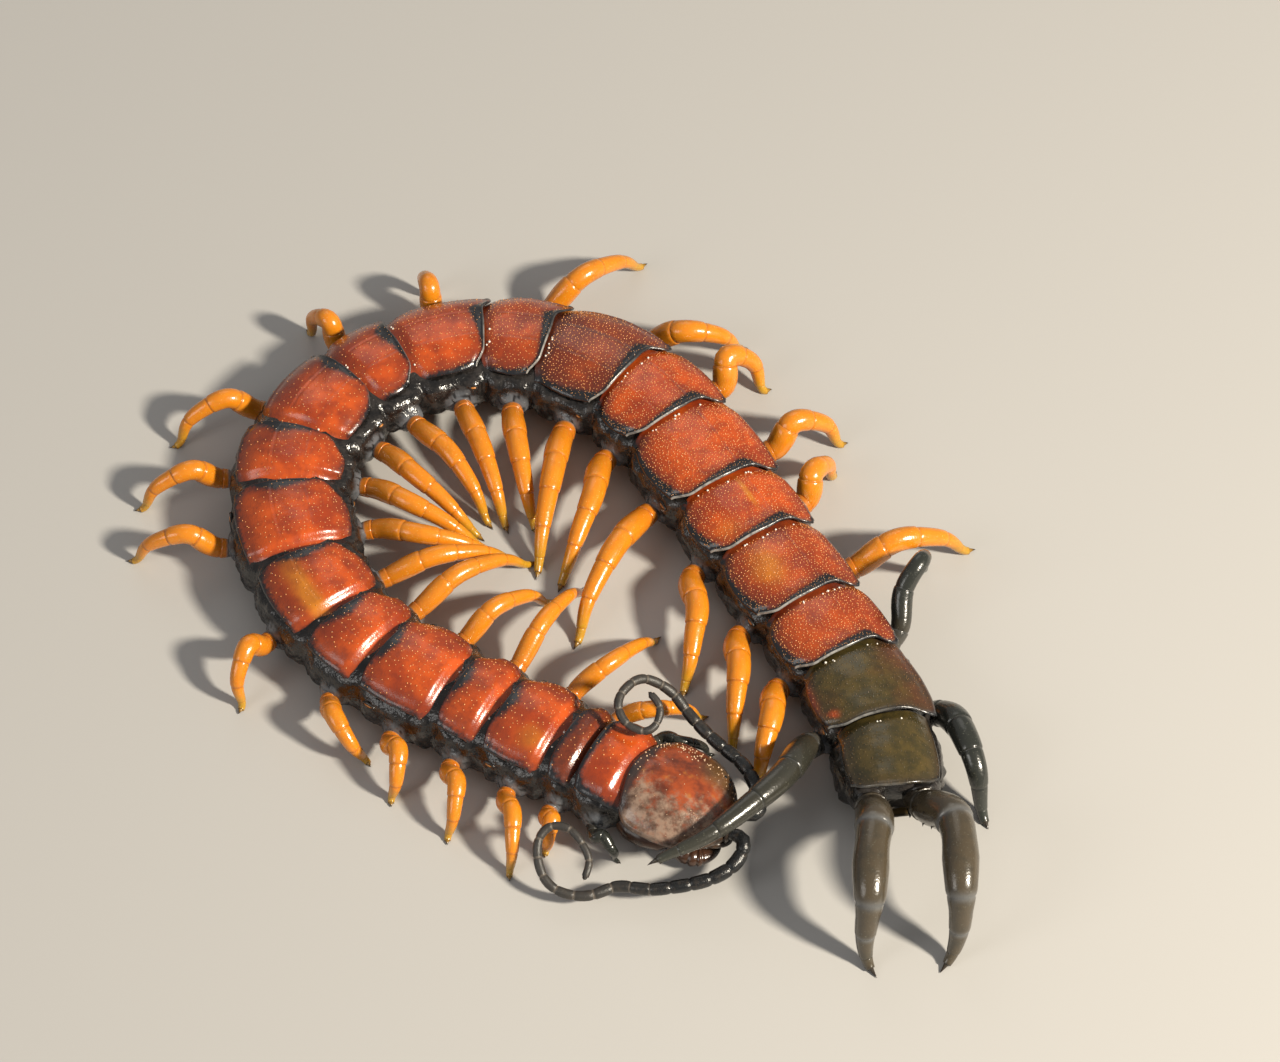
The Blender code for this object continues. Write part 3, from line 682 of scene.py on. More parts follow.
def belly_finish():
    """Belly plates: place is distance from the rear edge and from the side edge."""
    f = Finish("belly_plate", 0.34)
    rear, side, _ = f.parts("place")
    blotch = f.noise(0.9, 4.0, 0.6)
    tone = f.mix(f.rise(blotch, 0.35, 0.7), (0.16, 0.10, 0.035), (0.09, 0.075, 0.035))
    edge = f.rise(f.maths("MINIMUM", rear, side), 0.3, 0.05, 0.0, 0.8)
    tone = f.mix(edge, tone, (0.03, 0.026, 0.02))
    f.colour(tone)
    f.rough(f.scaled(blotch, 0.2, 0.24))
    f.relief((f.noise(0.5, 3.0), 0.03), (f.cells(0.12), 0.01))
    return f.material


def leg_finish(name, root, middle, end, joint, speck, roughness, depth):
    """A leg: place is the share along it and how near a joint; tint is how much joint skin, how
    dark and how brown."""
    f = Finish(name, roughness, depth=depth, coat=0.3)
    along, near, _ = f.parts("place")
    bare, dark, brown = f.parts("tint")
    blotch = f.noise(0.9, 4.0, 0.6)
    fine = f.noise(0.11, 3.0)
    tone = f.mix(f.rise(f.scaled(blotch, 0.2, along), 0.05, 0.35), root, middle)
    tone = f.mix(f.rise(f.scaled(blotch, 0.15, along), 0.76, 0.98), tone, end)
    tone = f.mix(f.rise(blotch, 0.45, 0.75, 0.0, 0.35), tone, tuple(0.6 * c for c in middle))
    brown = f.times(brown, f.rise(blotch, 0.25, 0.6, 0.6, 1.0))
    tone = f.mix(brown, tone, (0.085, 0.062, 0.036))
    tone = f.mix(f.rise(near, 0.3, 1.0, 0.0, 0.38), tone, joint)
    specks = f.rise(f.noise(0.13, 1.0), 0.68, 0.74, 0.0, 0.5)
    tone = f.mix(specks, tone, speck)
    tone = f.mix(f.rise(bare, 0.1, 0.9), tone, (0.14, 0.145, 0.15))
    tone = f.mix(f.rise(f.scaled(blotch, 0.3, dark), 0.3, 1.1), tone, (0.03, 0.022, 0.014))
    f.colour(tone)
    f.rough(f.scaled(fine, 0.14, roughness - 0.07))
    f.relief((f.noise(0.5, 3.0), 0.016), (f.cells(0.15), 0.009), (fine, 0.004))
    return f.material


def claw_finish():
    """Claws: place is the share along; tint is 1 on a black leg."""
    f = Finish("leg_claw", 0.25)
    along, _, _ = f.parts("place")
    black, _, _ = f.parts("tint")
    root = f.mix(black, (0.30, 0.16, 0.022), (0.035, 0.028, 0.02))
    spread = f.scaled(f.noise(0.2, 2.0), 0.2, along)
    f.colour(f.mix(f.rise(spread, 0.4, 1.0), root, (0.02, 0.012, 0.008)))
    f.rough(f.scaled(f.noise(0.3, 2.0), 0.1, 0.18))
    f.relief((f.noise(0.3, 3.0), 0.008))
    return f.material


def antenna_finish():
    """Feelers: place is the share along and how near a joint."""
    f = Finish("antenna_shell", 0.35)
    along, near, _ = f.parts("place")
    blotch = f.noise(0.4, 4.0, 0.6)
    fine = f.noise(0.07, 3.0)
    tone = f.mix(f.rise(along, 0.25, 0.6), (0.009, 0.010, 0.011), (0.034, 0.031, 0.028))
    tone = f.mix(f.rise(blotch, 0.45, 0.8, 0.0, 0.5), tone, (0.075, 0.056, 0.042))
    tone = f.mix(f.rise(near, 0.35, 0.95, 0.0, 0.6), tone, (0.15, 0.125, 0.10))
    f.colour(tone)
    f.rough(f.plus(f.rise(along, 0.25, 0.6, 0.18, 0.36), f.times(fine, 0.15)))
    f.relief((fine, 0.014), (f.cells(0.08), 0.010))
    return f.material


def plain_finish(name, low, high, roughness, wavelength=0.3):
    """A small hard part: two close tones, uneven gloss and a fine grain."""
    f = Finish(name, roughness)
    blotch = f.noise(wavelength, 3.0)
    f.colour(f.mix(f.rise(blotch, 0.35, 0.65), low, high))
    f.rough(f.scaled(blotch, 0.16, roughness - 0.08))
    f.relief((blotch, 0.015))
    return f.material


# Back plates

PLATE_THICKNESS = 0.2
EDGE_RADIUS = 0.12
# Spacing of the points along and across a plate, and the rear edge's rolled border
PLATE_SPACING = (0.16, 0.11)
REAR_ROLL = 0.7
# How far a plate covers the one behind it, and reaches forward under the one in front
REAR_OVERLAP = 0.03
UNDERLAP = 0.4
# Height above the common crown along the part of a plate that shows, then its width on either side
STEP_ALONG = ((-0.15, -0.44), (0.0, -0.36), (0.06, -0.26), (0.14, -0.13), (0.25, -0.05), (0.4, 0.0),
              (0.8, 0.04), (0.94, 0.08), (1.0, 0.07))
INNER_WIDTH = ((0.0, 0.86), (0.1, 0.91), (0.25, 0.965), (0.45, 1.0), (0.65, 0.99), (0.82, 0.955),
               (1.0, 0.89))
OUTER_WIDTH = ((0.0, 0.9), (0.12, 0.935), (0.3, 0.975), (0.55, 1.0), (0.8, 0.995), (1.0, 0.965))
# By plate: swelling of the left and of the right side
INNER_SWELL = ((12, 1.0), (14, 1.08), (18, 1.12), (20, 1.0))
OUTER_SWELL = ((12, 1.0), (14, 1.03), (18, 1.05), (20, 1.0))
# By plate: how far the front ledge reaches and how far it lies below the rest of the plate
LEDGE_LENGTH = ((0, 0.7), (1, 0.3), (2, 0.7), (8, 0.7), (12, 0.2))
LEDGE_DROP = ((0, 0.3), (1, 0.25), (2, 0.42), (8, 0.42), (11, 0.1), (12, 0.0))
LEDGE_RISE = 0.6
# By plate: how far the left and right rear corners are cut back, and the right one is drawn out
INNER_CUT = ((0, 0.5), (1, 0.4), (2, 0.9), (5, 1.2), (8, 1.0), (11, 0.8), (13, 0.85), (18, 0.85),
             (19, 0.8), (20, 0.4))
OUTER_CUT = ((0, 0.3), (2, 0.25), (8, 0.3), (12, 0.0), (18, 0.0), (19, 0.1), (20, 0.3))
CORNER_SPUR = ((9, 0.0), (12, 1.0), (18, 1.0), (19, 0.3), (20, 0.0))
# By plate: height of the thick rear welt, which only the first two plates have
WELT = ((0, 0.2), (1, 0.12), (2, 0.0))
# By plate: how far the middle of the rear edge reaches back
REAR_LOBE = ((18, 0.0), (19, -0.4), (20, 0.6))
# By plate: the black rear band's widest place, how far it stays wide and fades to either side,
# its width there, and the black of each side edge
BAND_PEAK = ((2, 0.05), (6, -0.1), (8, -0.35), (12, -0.45))
BAND_FALL = ((0, 1.4), (1, 1.4), (2, 0.7), (8, 0.55), (12, 0.25))
BAND_HOLD = ((0, 0.9), (1, 0.9), (2, 0.1), (8, 0.15), (12, 0.3))
BAND_RISE = ((0, 1.4), (1, 1.4), (2, 0.6), (8, 0.9), (12, 1.35))
BAND_WIDTH = ((0, 0.6), (1, 0.5), (2, 0.95), (6, 1.05), (10, 1.05), (12, 0.9), (18, 0.8),
              (19, 0.15), (20, 0.05))
BAND_LEAST = 0.14
BAND_SLOPE = 0.9
INNER_BLACK = ((0, 0.3), (8, 0.2), (12, 0.4), (13, 0.65), (18, 0.6), (19, 0.0))
OUTER_BLACK = ((0, 0.5), (2, 0.3), (8, 0.35), (11, 0.2), (13, 0.14), (18, 0.14), (19, 0.0))
BLACK_BLEND = 0.3
# By plate: how sharply the black begins
BLACK_EDGE = ((0, 0.8), (2, 0.5), (8, 0.55), (12, 1.0))
# By plate: how strong the painted highlight along the rear rim is
RIM_HIGHLIGHT = ((6, 0.0), (10, 0.4), (12, 0.9), (18, 0.9), (19, 0.6), (20, 0.3))
# By plate: how olive, how dark, granules for each square millimetre, and strength of the long lines
PLATE_LOOKS = (
    (0.05, 0.16, 4.0, 0.2), (0.0, 0.58, 4.0, 0.2), (0.0, 0.10, 6.5, 0.3), (0.0, 0.12, 6.0, 0.3),
    (0.0, 0.10, 6.5, 0.3), (0.0, 0.12, 6.5, 0.4), (-0.1, 0.08, 6.0, 0.5), (0.0, 0.08, 6.5, 0.5),
    (0.0, 0.08, 5.5, 0.7), (0.0, 0.10, 5.0, 0.5), (0.0, 0.10, 5.5, 0.6), (0.0, 0.08, 7.0, 0.5),
    (0.0, 0.32, 11.0, 0.6), (0.0, 0.54, 16.0, 0.5), (0.0, 0.12, 18.0, 0.7), (0.0, 0.10, 20.0, 0.7),
    (0.0, 0.06, 20.0, 0.5), (0.0, 0.34, 20.0, 0.3), (0.0, 0.32, 20.0, 0.3), (0.85, 0.10, 14.0, 0.2),
    (0.95, 0.14, 8.0, 0.2),
)
# Patches by plate: centre and spread along u and v, and what each adds to olive and dark
PATCHES = {
    2: ((0.4, -0.45, 0.2, 0.28, -0.75, 0.0),),
    6: ((0.5, -0.4, 0.9, 0.2, -0.9, 0.0),),
    16: ((0.35, -0.14, 0.3, 0.06, -0.9, 0.0), (0.75, 0.5, 0.2, 0.3, -0.4, 0.0)),
    17: ((0.45, 0.36, 0.3, 0.3, -0.85, -0.28),),
    19: ((0.35, 1.0, 0.35, 0.1, -0.7, 0.3), (0.5, -1.0, 0.9, 0.55, -0.25, 0.42),
         (0.8, 0.78, 0.08, 0.1, -0.65, 0.1)),
}
# By plate: radius of the granules and how pale they are, partly their own colour and partly a painted
# glint
GRAIN_RADIUS = ((2, 0.052), (9, 0.046), (13, 0.044), (18, 0.044), (19, 0.048))
GRAIN_SPREAD = 0.22
GRAIN_SHIFT = 0.42
GRAIN_PALE_GLINT = -1.2
GRAIN_TONE = ((18, GRAIN_PALE_GLINT), (19, -0.62))
# Drops behind the rim of the plate in front: radii, how pale their painted glint makes them, and how
# many by plate
BEAD_RADII = (0.07, 0.115)
BEAD_GLINT = -2.4
BEADS = ((1, 0), (2, 3), (12, 3), (13, 6), (18, 6), (19, 5), (20, 3))
# The two long lines lie at this share of the half-width
LINE_SHARE = 0.3
# The last back plate but one widens to its rear corners
FLARED_PLATE = 19


def smooth_most(values, softness):
    """The greatest of several values, rounded where two are close."""
    return softness * np.log(sum(np.exp(np.asarray(value) / softness) for value in values))


class Plate:
    """One back plate over u, from front to rear, and v, from -1 on the right to 1 on the left."""

    def __init__(self, index):
        self.index = index
        last = index == LAST_PLATE
        self.start = PLATE_STARTS[index] - UNDERLAP
        self.length = PLATE_LENGTHS[index] + UNDERLAP + (0.0 if last else REAR_OVERLAP)
        self.half = PLATE_HALF_WIDTHS[index]
        self.taper = 0.05 if last else 0.0
        self.olive, self.dark, self.grains, self.lines = PLATE_LOOKS[index]
        self.seed = SEED + index

    def of(self, table):
        return blend(self.index, table)

    def ahead(self, u):
        """Distance behind the rear edge of the plate in front."""
        return u * self.length - UNDERLAP

    def shown(self, u):
        """Share of the part of the plate that shows."""
        return self.ahead(u) / (self.length - UNDERLAP)

    def width(self, u, v):
        """Distance from the midline to the side edge."""
        shown = self.shown(u)
        swell = np.where(v > 0, self.of(INNER_SWELL), self.of(OUTER_SWELL))
        shape = np.where(v > 0, blend(shown, INNER_WIDTH), blend(shown, OUTER_WIDTH))
        if self.index == FLARED_PLATE:
            flare = np.maximum(shape, 0.965) * (1.03 + 0.07 * smooth(shown, 0.2, 0.95))
            shape = np.where(v < 0, flare, 1.1 * shape)
        if self.index == LAST_PLATE:
            shape = np.maximum(shape, 0.95)
        return self.half * (shape * swell - self.taper * shown)

    def rear_line(self, v):
        """How far behind its nominal place the rear edge lies."""
        cut = np.where(v > 0, self.of(INNER_CUT), self.of(OUTER_CUT))
        cut = cut * smooth(np.abs(v), 0.6, 1.04) ** 1.4
        spur = 0.6 * smooth(-v, 0.52, 0.86) - 0.14 * bell(v, -0.42, 0.25)
        spur = spur - 0.3 * smooth(-v, 0.93, 1.0)
        return self.of(REAR_LOBE) * (0.6 - v * v) - cut + self.of(CORNER_SPUR) * spur

    def black(self, rear, margin, shown, v):
        """Distance inside the black that runs along the rear edge and both sides."""
        peak = self.of(BAND_PEAK)
        width = self.of(BAND_WIDTH)
        least = min(BAND_LEAST, width)
        band = blend(v, ((peak - self.of(BAND_FALL), least), (peak, width),
                         (peak + self.of(BAND_HOLD), BAND_SLOPE * width),
                         (peak + self.of(BAND_RISE), least)))
        sides = np.where(v > 0, self.of(INNER_BLACK), self.of(OUTER_BLACK))
        sides = sides * (0.6 + 0.6 * smooth(shown, 0.2, 1.0))
        return self.of(BLACK_EDGE) * smooth_most((band - rear, sides - margin), BLACK_BLEND)

    def height(self, u, v, width):
        """Height of the outer surface before its edges are rounded."""
        rear = (1 - u) * self.length
        ahead = self.ahead(u)
        shown = self.shown(u)
        margin = (1 - np.abs(v)) * width
        drop = self.of(LEDGE_DROP)
        ledge = min(self.of(LEDGE_LENGTH), 0.25 * self.length)
        spot = columns(ahead, width * v, np.full_like(u, self.seed))
        height = CROWN + blend(shown, STEP_ALONG) - CROWN_DROP * np.abs(v) ** CROWN_POWER
        height -= drop * smooth(ahead, ledge + LEDGE_RISE, ledge)
        height -= 0.6 * drop * rolled(rear, REAR_ROLL)
        if self.index == 0:
            height += 0.16 * bell(v, -0.78, 0.16) * bell(ahead, 0.9, 0.6)
        height += self.of(WELT) * bell(rear, 0.34, 0.24)
        height += 0.03 * ripple(spot, 2.4, self.seed)
        height += 0.02 * bell(margin, 0.2, 0.1) * smooth(shown, 0.1, 0.3)
        height -= 0.025 * bell(margin, 0.48, 0.16)
        height += 0.055 * bell(rear, 0.11, 0.07) - 0.06 * bell(rear, 0.44, 0.2)
        line = (np.abs(v) - LINE_SHARE) * width
        run = smooth(ahead, ledge + 0.3, ledge + 0.9) * smooth(rear, 0.3, 0.8) * self.lines
        run *= np.where(v < 0, 1.0, 0.55)
        height += run * (0.05 * bell(line, 0.13, 0.08) - 0.07 * bell(line, 0.0, 0.055))
        height += 0.03 * bell(v * width, 0.0, 0.5) * smooth(shown, 0.1, 0.4)
        return height, run * bell(line, 0.0, 0.09)

    def surface(self, u, v, face):
        """Points with their places and tints, on the upper side for face 1, on the lower for -1."""
        width = self.width(u, v)
        shown = self.shown(u)
        front = 0.05 * self.length * smooth(np.abs(v), 0.7, 1.0) * smooth(shown, 0.4, 0.0)
        s = self.start + self.length * u + front + self.rear_line(v) * smooth(shown, 0.5, 1.0)
        rear = (1 - u) * self.length
        margin = (1 - np.abs(v)) * width
        height, groove = self.height(u, v, width)
        edge = np.minimum(np.minimum(rear, u * self.length), margin)
        height += PLATE_THICKNESS / 2 * (face * (1 - rolled(edge, EDGE_RADIUS)) - 1)
        olive = np.full_like(u, self.olive)
        # Darker towards the front of the plate: painted shade under the rim of the plate in front.
        # Darker also along the groove of each long line.
        dark = self.dark + 0.2 * smooth(shown, 0.2, 0.0) + 0.35 * groove
        for u0, v0, u_spread, v_spread, more_olive, more_dark in PATCHES.get(self.index, ()):
            weight = bell(shown, u0, u_spread) * bell(v, v0, v_spread)
            olive = olive + more_olive * weight
            dark = dark + more_dark * weight
        # The rim's painted highlight: full on the left, fading to almost none on the right
        rim_highlight = self.of(RIM_HIGHLIGHT) * (1 - 0.95 * smooth(v, 0.45, -0.35))
        places = columns(rear, margin, rim_highlight)
        tints = columns(olive, dark, self.black(rear, margin, shown, v))
        return place(s, width * v, height), places, tints

    def grain_spots(self):
        """Places of the granules: an even lattice, each point moved a little, with clear edges."""
        draw = np.random.default_rng(self.seed)
        step = 1 / math.sqrt(self.grains)
        rows = int(self.length / step)
        lines = int(2 * self.half / step)
        r, c = np.meshgrid(np.arange(rows), np.arange(lines), indexing="ij")
        r = r + 0.5 * (c % 2)
        u = (r.ravel() + 0.3 + draw.uniform(-GRAIN_SHIFT, GRAIN_SHIFT, r.size)) / rows
        v = 2 * (c.ravel() + 0.5 + draw.uniform(-GRAIN_SHIFT, GRAIN_SHIFT, c.size)) / lines - 1
        bare = 0.5 * smooth(v, -0.2, -0.8) * self.of(((9, 1.0), (12, 0.0)))
        keep = (self.ahead(u) > 0.25) & (u < 0.97) & (np.abs(v) < 0.97)
        keep &= draw.uniform(0, 1, u.size) > bare + 0.08
        sizes = draw.uniform(1 - GRAIN_SPREAD, 1 + GRAIN_SPREAD, keep.sum())
        return u[keep], v[keep], self.of(GRAIN_RADIUS) * sizes

    def bead_spots(self):
        """A few drops just behind the rim of the plate in front, made whitish by a painted glint."""
        draw = np.random.default_rng(self.seed + 100)
        count = int(round(self.of(BEADS)))
        ahead = UNDERLAP + draw.uniform(0.15, 0.5, count)
        return ahead / self.length, draw.uniform(-0.7, 0.7, count), draw.uniform(*BEAD_RADII, count)

    def build(self, finish):
        shape = Shape()
        add_sheet(shape, self.surface, self.length, self.half, PLATE_SPACING)
        add_grains(shape, self.surface, *self.grain_spots(), self.of(GRAIN_TONE))
        if self.of(BEADS) > 0:
            add_grains(shape, self.surface, *self.bead_spots(), BEAD_GLINT)
        slot = "hind_trunk" if self.index >= PLATE_COUNT - 2 else "trunk"
        shape.make(f"tergite_{self.index + 1:02d}", finish, slot)


# Soft skin under the plates, from the neck to the last pair of legs

SKIN_START = HEAD_LENGTH - 1.2
SKIN_END = BODY_END - 0.35
SKIN_STEP = 0.24
SKIN_SIDES = 80
# How far lumps, unevenness and fine ridges stand out, and the swelling and hollow round a leg's root
SKIN_LUMP = 0.26
SKIN_RIPPLE = 0.06
SKIN_RIDGE = 0.03
ROOT_SWELL = 0.42
ROOT_HOLLOW = 0.16
LUMP_STRETCH = (0.95, 0.95, 1.25)
LUMP_MOST = 0.6
FLANK_MIDDLE = 3.0
# Breathing holes: plates, place on the ring, half-sizes, thickness of the rim, half-length of the slit
SPIRACLE_PLATES = (2, 4, 7, 9, 11, 13, 15, 17, 19)
SPIRACLE_SHARE = 0.8
SPIRACLE_HEIGHT = 3.25
SPIRACLE_SIZE = (0.42, 0.17)
SPIRACLE_RIM = 0.09
SLIT_REACH = 0.3


def half_width_at(s):
    centres = [a + 0.5 * b for a, b in zip(PLATE_STARTS, PLATE_LENGTHS)]
    return np.interp(s, [0.0, HEAD_LENGTH, *centres, BODY_END], [3.0, 3.0, *PLATE_HALF_WIDTHS, 2.9])


def seam_distance(s):
    """Distance to the nearest joint between two body rings."""
    seams = np.array([*PLATE_STARTS, BODY_END])
    return np.abs(np.asarray(s)[..., None] - seams).min(axis=-1)


def skin_outline(s, half):
    """Closed outline of one section, as side distances and heights, starting on the left."""
    squeeze = 1 - 0.11 * bell(seam_distance(s), 0.0, 0.6)
    rows = []
    for side_sign in (1, -1):
        flank = flank_side(s, side_sign, half) * squeeze
        row = ((0.5 * half, CROWN - 0.85), (half - 0.5, CROWN - CROWN_DROP - 0.35),
               (flank - 0.28, 3.55), (flank, 2.85), (flank + 0.04, 2.05), (flank - 0.1, 1.35),
               (BELLY_HALF_WIDTH * half, BELLY + 0.12), (0.3 * half, BELLY + 0.12))
        rows.append([(side_sign * side, height) for side, height in row])
    left, right = rows
    return left + right[::-1]


def build_skin(finish, roots):
    """One wrinkled skin round all the rings, swollen where a leg leaves it."""
    stations = np.arange(SKIN_START, SKIN_END, SKIN_STEP)
    sections = np.array([closed_ring(skin_outline(s, half_width_at(s)), SKIN_SIDES) for s in stations])
    ends = np.minimum(smooth(stations, SKIN_START - 0.3, SKIN_START + 1.6),
                      1 - 0.55 * smooth(stations, SKIN_END - 1.2, SKIN_END))
    centre = np.array([0.0, FLANK_MIDDLE])
    sections = centre + (sections - centre) * (0.4 + 0.6 * ends)[:, None, None]
    s = np.repeat(stations[:, None], SKIN_SIDES, axis=1)
    side, height = sections[..., 0], sections[..., 1]
    points = place(s, side, height)
    around = np.roll(points, -1, axis=1) - np.roll(points, 1, axis=1)
    normals = unit(np.cross(np.gradient(points, axis=0), around))
    outward = (points - place(s, 0.0, FLANK_MIDDLE)) * normals
    normals *= np.sign(outward.sum(axis=-1, keepdims=True))
    flank = smooth(height, 0.9, 1.3) * smooth(height, 4.2, 3.7)
    lumps = np.zeros(s.shape)
    crease_shades = np.zeros(s.shape)
    for index in np.ndindex(s.shape):
        if flank[index] > 0:
            near, _ = noise.voronoi(tuple(points[index] * LUMP_STRETCH))
            lumps[index] = min(near[1] - near[0], LUMP_MOST)
            crease_shades[index] = bell(near[1] - near[0], 0.0, 0.1)
    rise = SKIN_LUMP * lumps + SKIN_RIPPLE * ripple(points, 1.1, SEED)
    rise += SKIN_RIDGE * np.sin(height * 15.0 + 2.0 * ripple(points, 3.0, SEED + 1))
    pale = np.zeros(s.shape)
    for root in roots:
        reach = np.linalg.norm(points - root, axis=-1)
        rise += ROOT_SWELL * bell(reach, 0.0, 0.95) - ROOT_HOLLOW * bell(reach, 1.35, 0.22)
        pale += bell(reach, 0.6, 0.8)
    points = points + normals * (rise * flank)[..., None]
    points[..., 2] = np.maximum(points[..., 2], BELLY + 0.04)
    # Painted shade in the creases between lumps and at the seams between rings, for the skin's tint
    seam = bell(seam_distance(s), 0.0, 0.2)
    tints = columns(np.clip(pale, 0, 1), np.clip(crease_shades * flank + 0.5 * seam, 0, 1),
                    smooth(height, 1.2, 0.95))
    shape = Shape()
    shape.add(points, tube_faces(len(stations), SKIN_SIDES), tints=tints.reshape(-1, 3))
    trunk_nodes = [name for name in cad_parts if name.startswith("trunk")]
    shape.make("body_skin", finish, "trunk", trunk_nodes)


def build_spiracles(rim_finish, slit_finish):
    """A breathing hole on each side of some rings: a black raised rim with a brown slit in it."""
    rims, slits = Shape(), Shape()
    for index in SPIRACLE_PLATES:
        s = PLATE_STARTS[index] + SPIRACLE_SHARE * PLATE_LENGTHS[index]
        for side_sign in (1, -1):
            half = half_width_at(s)
            side = side_sign * (flank_side(s, side_sign, half) - 0.1)
            turns = np.linspace(0, 2 * math.pi, 25)
            ring = place(s + SPIRACLE_SIZE[0] * np.cos(turns), side,
                         SPIRACLE_HEIGHT + SPIRACLE_SIZE[1] * np.sin(turns))
            add_tube(rims, ring, np.full(25, SPIRACLE_RIM), 8)
            run = np.linspace(-SLIT_REACH, SLIT_REACH, 7)
            line = place(s + run, side + side_sign * 0.02, SPIRACLE_HEIGHT)
            widths = 0.02 + 0.1 * np.sqrt(1 - (run / (SLIT_REACH + 0.01)) ** 2)
            add_tube(slits, line, widths, 8, squeeze=0.7)
    rims.make("spiracle_rims", rim_finish, "trunk")
    slits.make("spiracle_slits", slit_finish, "trunk")


# Belly plates

BELLY_SPACING = (0.5, 0.4)
BELLY_WIDTH = ((0.0, 0.86), (0.15, 0.95), (0.5, 1.0), (0.85, 0.97), (1.0, 0.88))


def belly_surface(index):
    """The surface of one belly plate, its length and its half-width."""
    start = PLATE_STARTS[index] + 0.25
    length = PLATE_LENGTHS[index] - 0.3
    half = BELLY_HALF_WIDTH * PLATE_HALF_WIDTHS[index] * (0.8 if index == LAST_PLATE else 1.0)

    def surface(u, v, face):
        width = half * blend(u, BELLY_WIDTH)
        rear = (1 - u) * length
        margin = (1 - np.abs(v)) * width
        edge = np.minimum(np.minimum(rear, u * length), margin)
        line = (np.abs(v) - 0.4) * width
        spot = columns(u * length, v * width, np.zeros_like(u))
        depth = 0.05 * bell(line, 0.0, 0.1) * smooth(u, 0.02, 0.2)
        depth += 0.02 * ripple(spot, 1.8, SEED + index)
        height = BELLY + 0.03 + depth + 0.08 * (1 - face * (1 - rolled(edge, 0.1)))
        s = start + u * length - 0.12 * smooth(np.abs(v), 0.6, 1.0) * (u - 0.5)
        places = columns(rear, margin, v)
        return place(s, width * v, height), places, np.zeros(places.shape)

    return surface, length, half


def build_belly_plates(finish):
    shape = Shape()
    for index in range(PLATE_COUNT):
        add_sheet(shape, *belly_surface(index), BELLY_SPACING)
    shape.make("belly_plates", finish, "trunk")


# Head: distances are from its front

HEAD_WIDEST = 4.4
HEAD_HALF_WIDTH = 4.1
HEAD_FLOOR = 2.3
HEAD_REAR = HEAD_LENGTH + 0.3
HEAD_CROWN = ((0.0, 3.55), (0.35, 3.95), (0.9, 4.3), (1.8, 4.7), (3.0, 5.12), (4.4, 5.38),
              (5.6, 5.48), (6.6, 5.45), (HEAD_REAR, 5.35))
HEAD_EDGE = ((0.0, 3.2), (0.9, 3.25), (1.8, 3.42), (3.0, 3.6), (4.4, 3.75), (5.6, 3.85),
             (HEAD_REAR, 4.1))
HEAD_SPACING = (0.2, 0.13)
HEAD_GRAINS = 420
HEAD_GRAIN_RADII = (0.035, 0.085)
# The four simple eyes: distance and share of the half-width
OCELLI = ((0.75, 0.86), (1.25, 0.9), (1.1, 0.76), (1.6, 0.8))
OCELLUS_RADIUS = 0.14


def head_width(s):
    """Half-width of the head plate, an oval blunter behind."""
    front = 1 - np.clip((HEAD_WIDEST - s) / (HEAD_WIDEST + 0.05), 0, 1) ** 2.4
    back = 1 - np.clip((s - HEAD_WIDEST) / 3.5, 0, 1) ** 3.4
    return HEAD_HALF_WIDTH * np.where(s < HEAD_WIDEST, front ** 0.5, back ** (1 / 2.4))


def head_surface(u, v, face):
    """The head plate, with u from front to rear."""
    s = HEAD_REAR * u
    width = head_width(s)
    margin = (1 - np.abs(v)) * width
    rear = (1 - u) * HEAD_REAR
    round_rear = 0.5 * smooth(u, 0.75, 1.0) * (1 - v * v) - 0.25 * smooth(u, 0.75, 1.0)
    notch = 0.16 * bell(v * width, 0.0, 0.22) * smooth(u, 0.14, 0.0)
    crown = blend(s, HEAD_CROWN)
    height = crown - (crown - blend(s, HEAD_EDGE)) * np.abs(v) ** CROWN_POWER
    spot = columns(s, width * v, np.zeros_like(s))
    height = height + 0.035 * ripple(spot, 2.2, SEED + 40)
    height += 0.05 * bell(margin, 0.16, 0.09) - 0.04 * bell(margin, 0.42, 0.13)
    height += 0.08 * bell(rear, 0.3, 0.2) - 0.06 * bell(rear, 0.75, 0.16)
    line = (np.abs(v) - (0.2 + 0.1 * u)) * width
    run = smooth(u, 0.55, 0.75) * smooth(rear, 0.2, 0.6)
    height -= 0.05 * run * bell(line, 0.0, 0.07)
    height -= 0.06 * bell(v * width, 0.0, 0.12) * smooth(u, 0.3, 0.05)
    edge = np.minimum(np.minimum(rear, s + 0.15), margin)
    height += PLATE_THICKNESS / 2 * (face * (1 - rolled(edge, EDGE_RADIUS)) - 1)
    # Painted sheen: grey over the near side, most at the rear, and a little over the front half,
    # standing for reflected light
    near = smooth(v, 0.25, -0.7)
    painted_sheen = near * (0.75 * smooth(u, 1.05, 0.75) + 0.4 * bell(u, 0.86, 0.08)) + 0.3 * smooth(u, 0.5, 0.1)
    dark = 0.08 + 0.4 * smooth(margin, 0.5, 0.06) + 0.25 * (smooth(u, 0.25, 0.0) + smooth(v, 0.45, 0.95))
    olive = 0.7 * smooth(v, -0.1, 0.7) * smooth(u, 0.75, 0.3)
    places = columns(rear, margin, v)
    tints = columns(painted_sheen, dark, olive)
    return place(s + round_rear + notch, width * v, height), places, tints


def head_grain_spots():
    """Granules of the head, most of them near its left front edge and its rear."""
    draw = np.random.default_rng(SEED + 41)
    u = draw.uniform(0.06, 0.97, HEAD_GRAINS)
    v = draw.uniform(-0.95, 0.95, HEAD_GRAINS)
    crowd = np.maximum(smooth(v, 0.3, 0.85), smooth(u, 0.8, 0.95) * smooth(v, -0.6, 0.3))
    keep = draw.uniform(0, 1, HEAD_GRAINS) < 0.12 + 0.75 * crowd
    sizes = draw.uniform(*HEAD_GRAIN_RADII, keep.sum())
    return u[keep], v[keep], sizes * (0.65 + 0.35 * crowd[keep])


LOFT_SIDES = 48


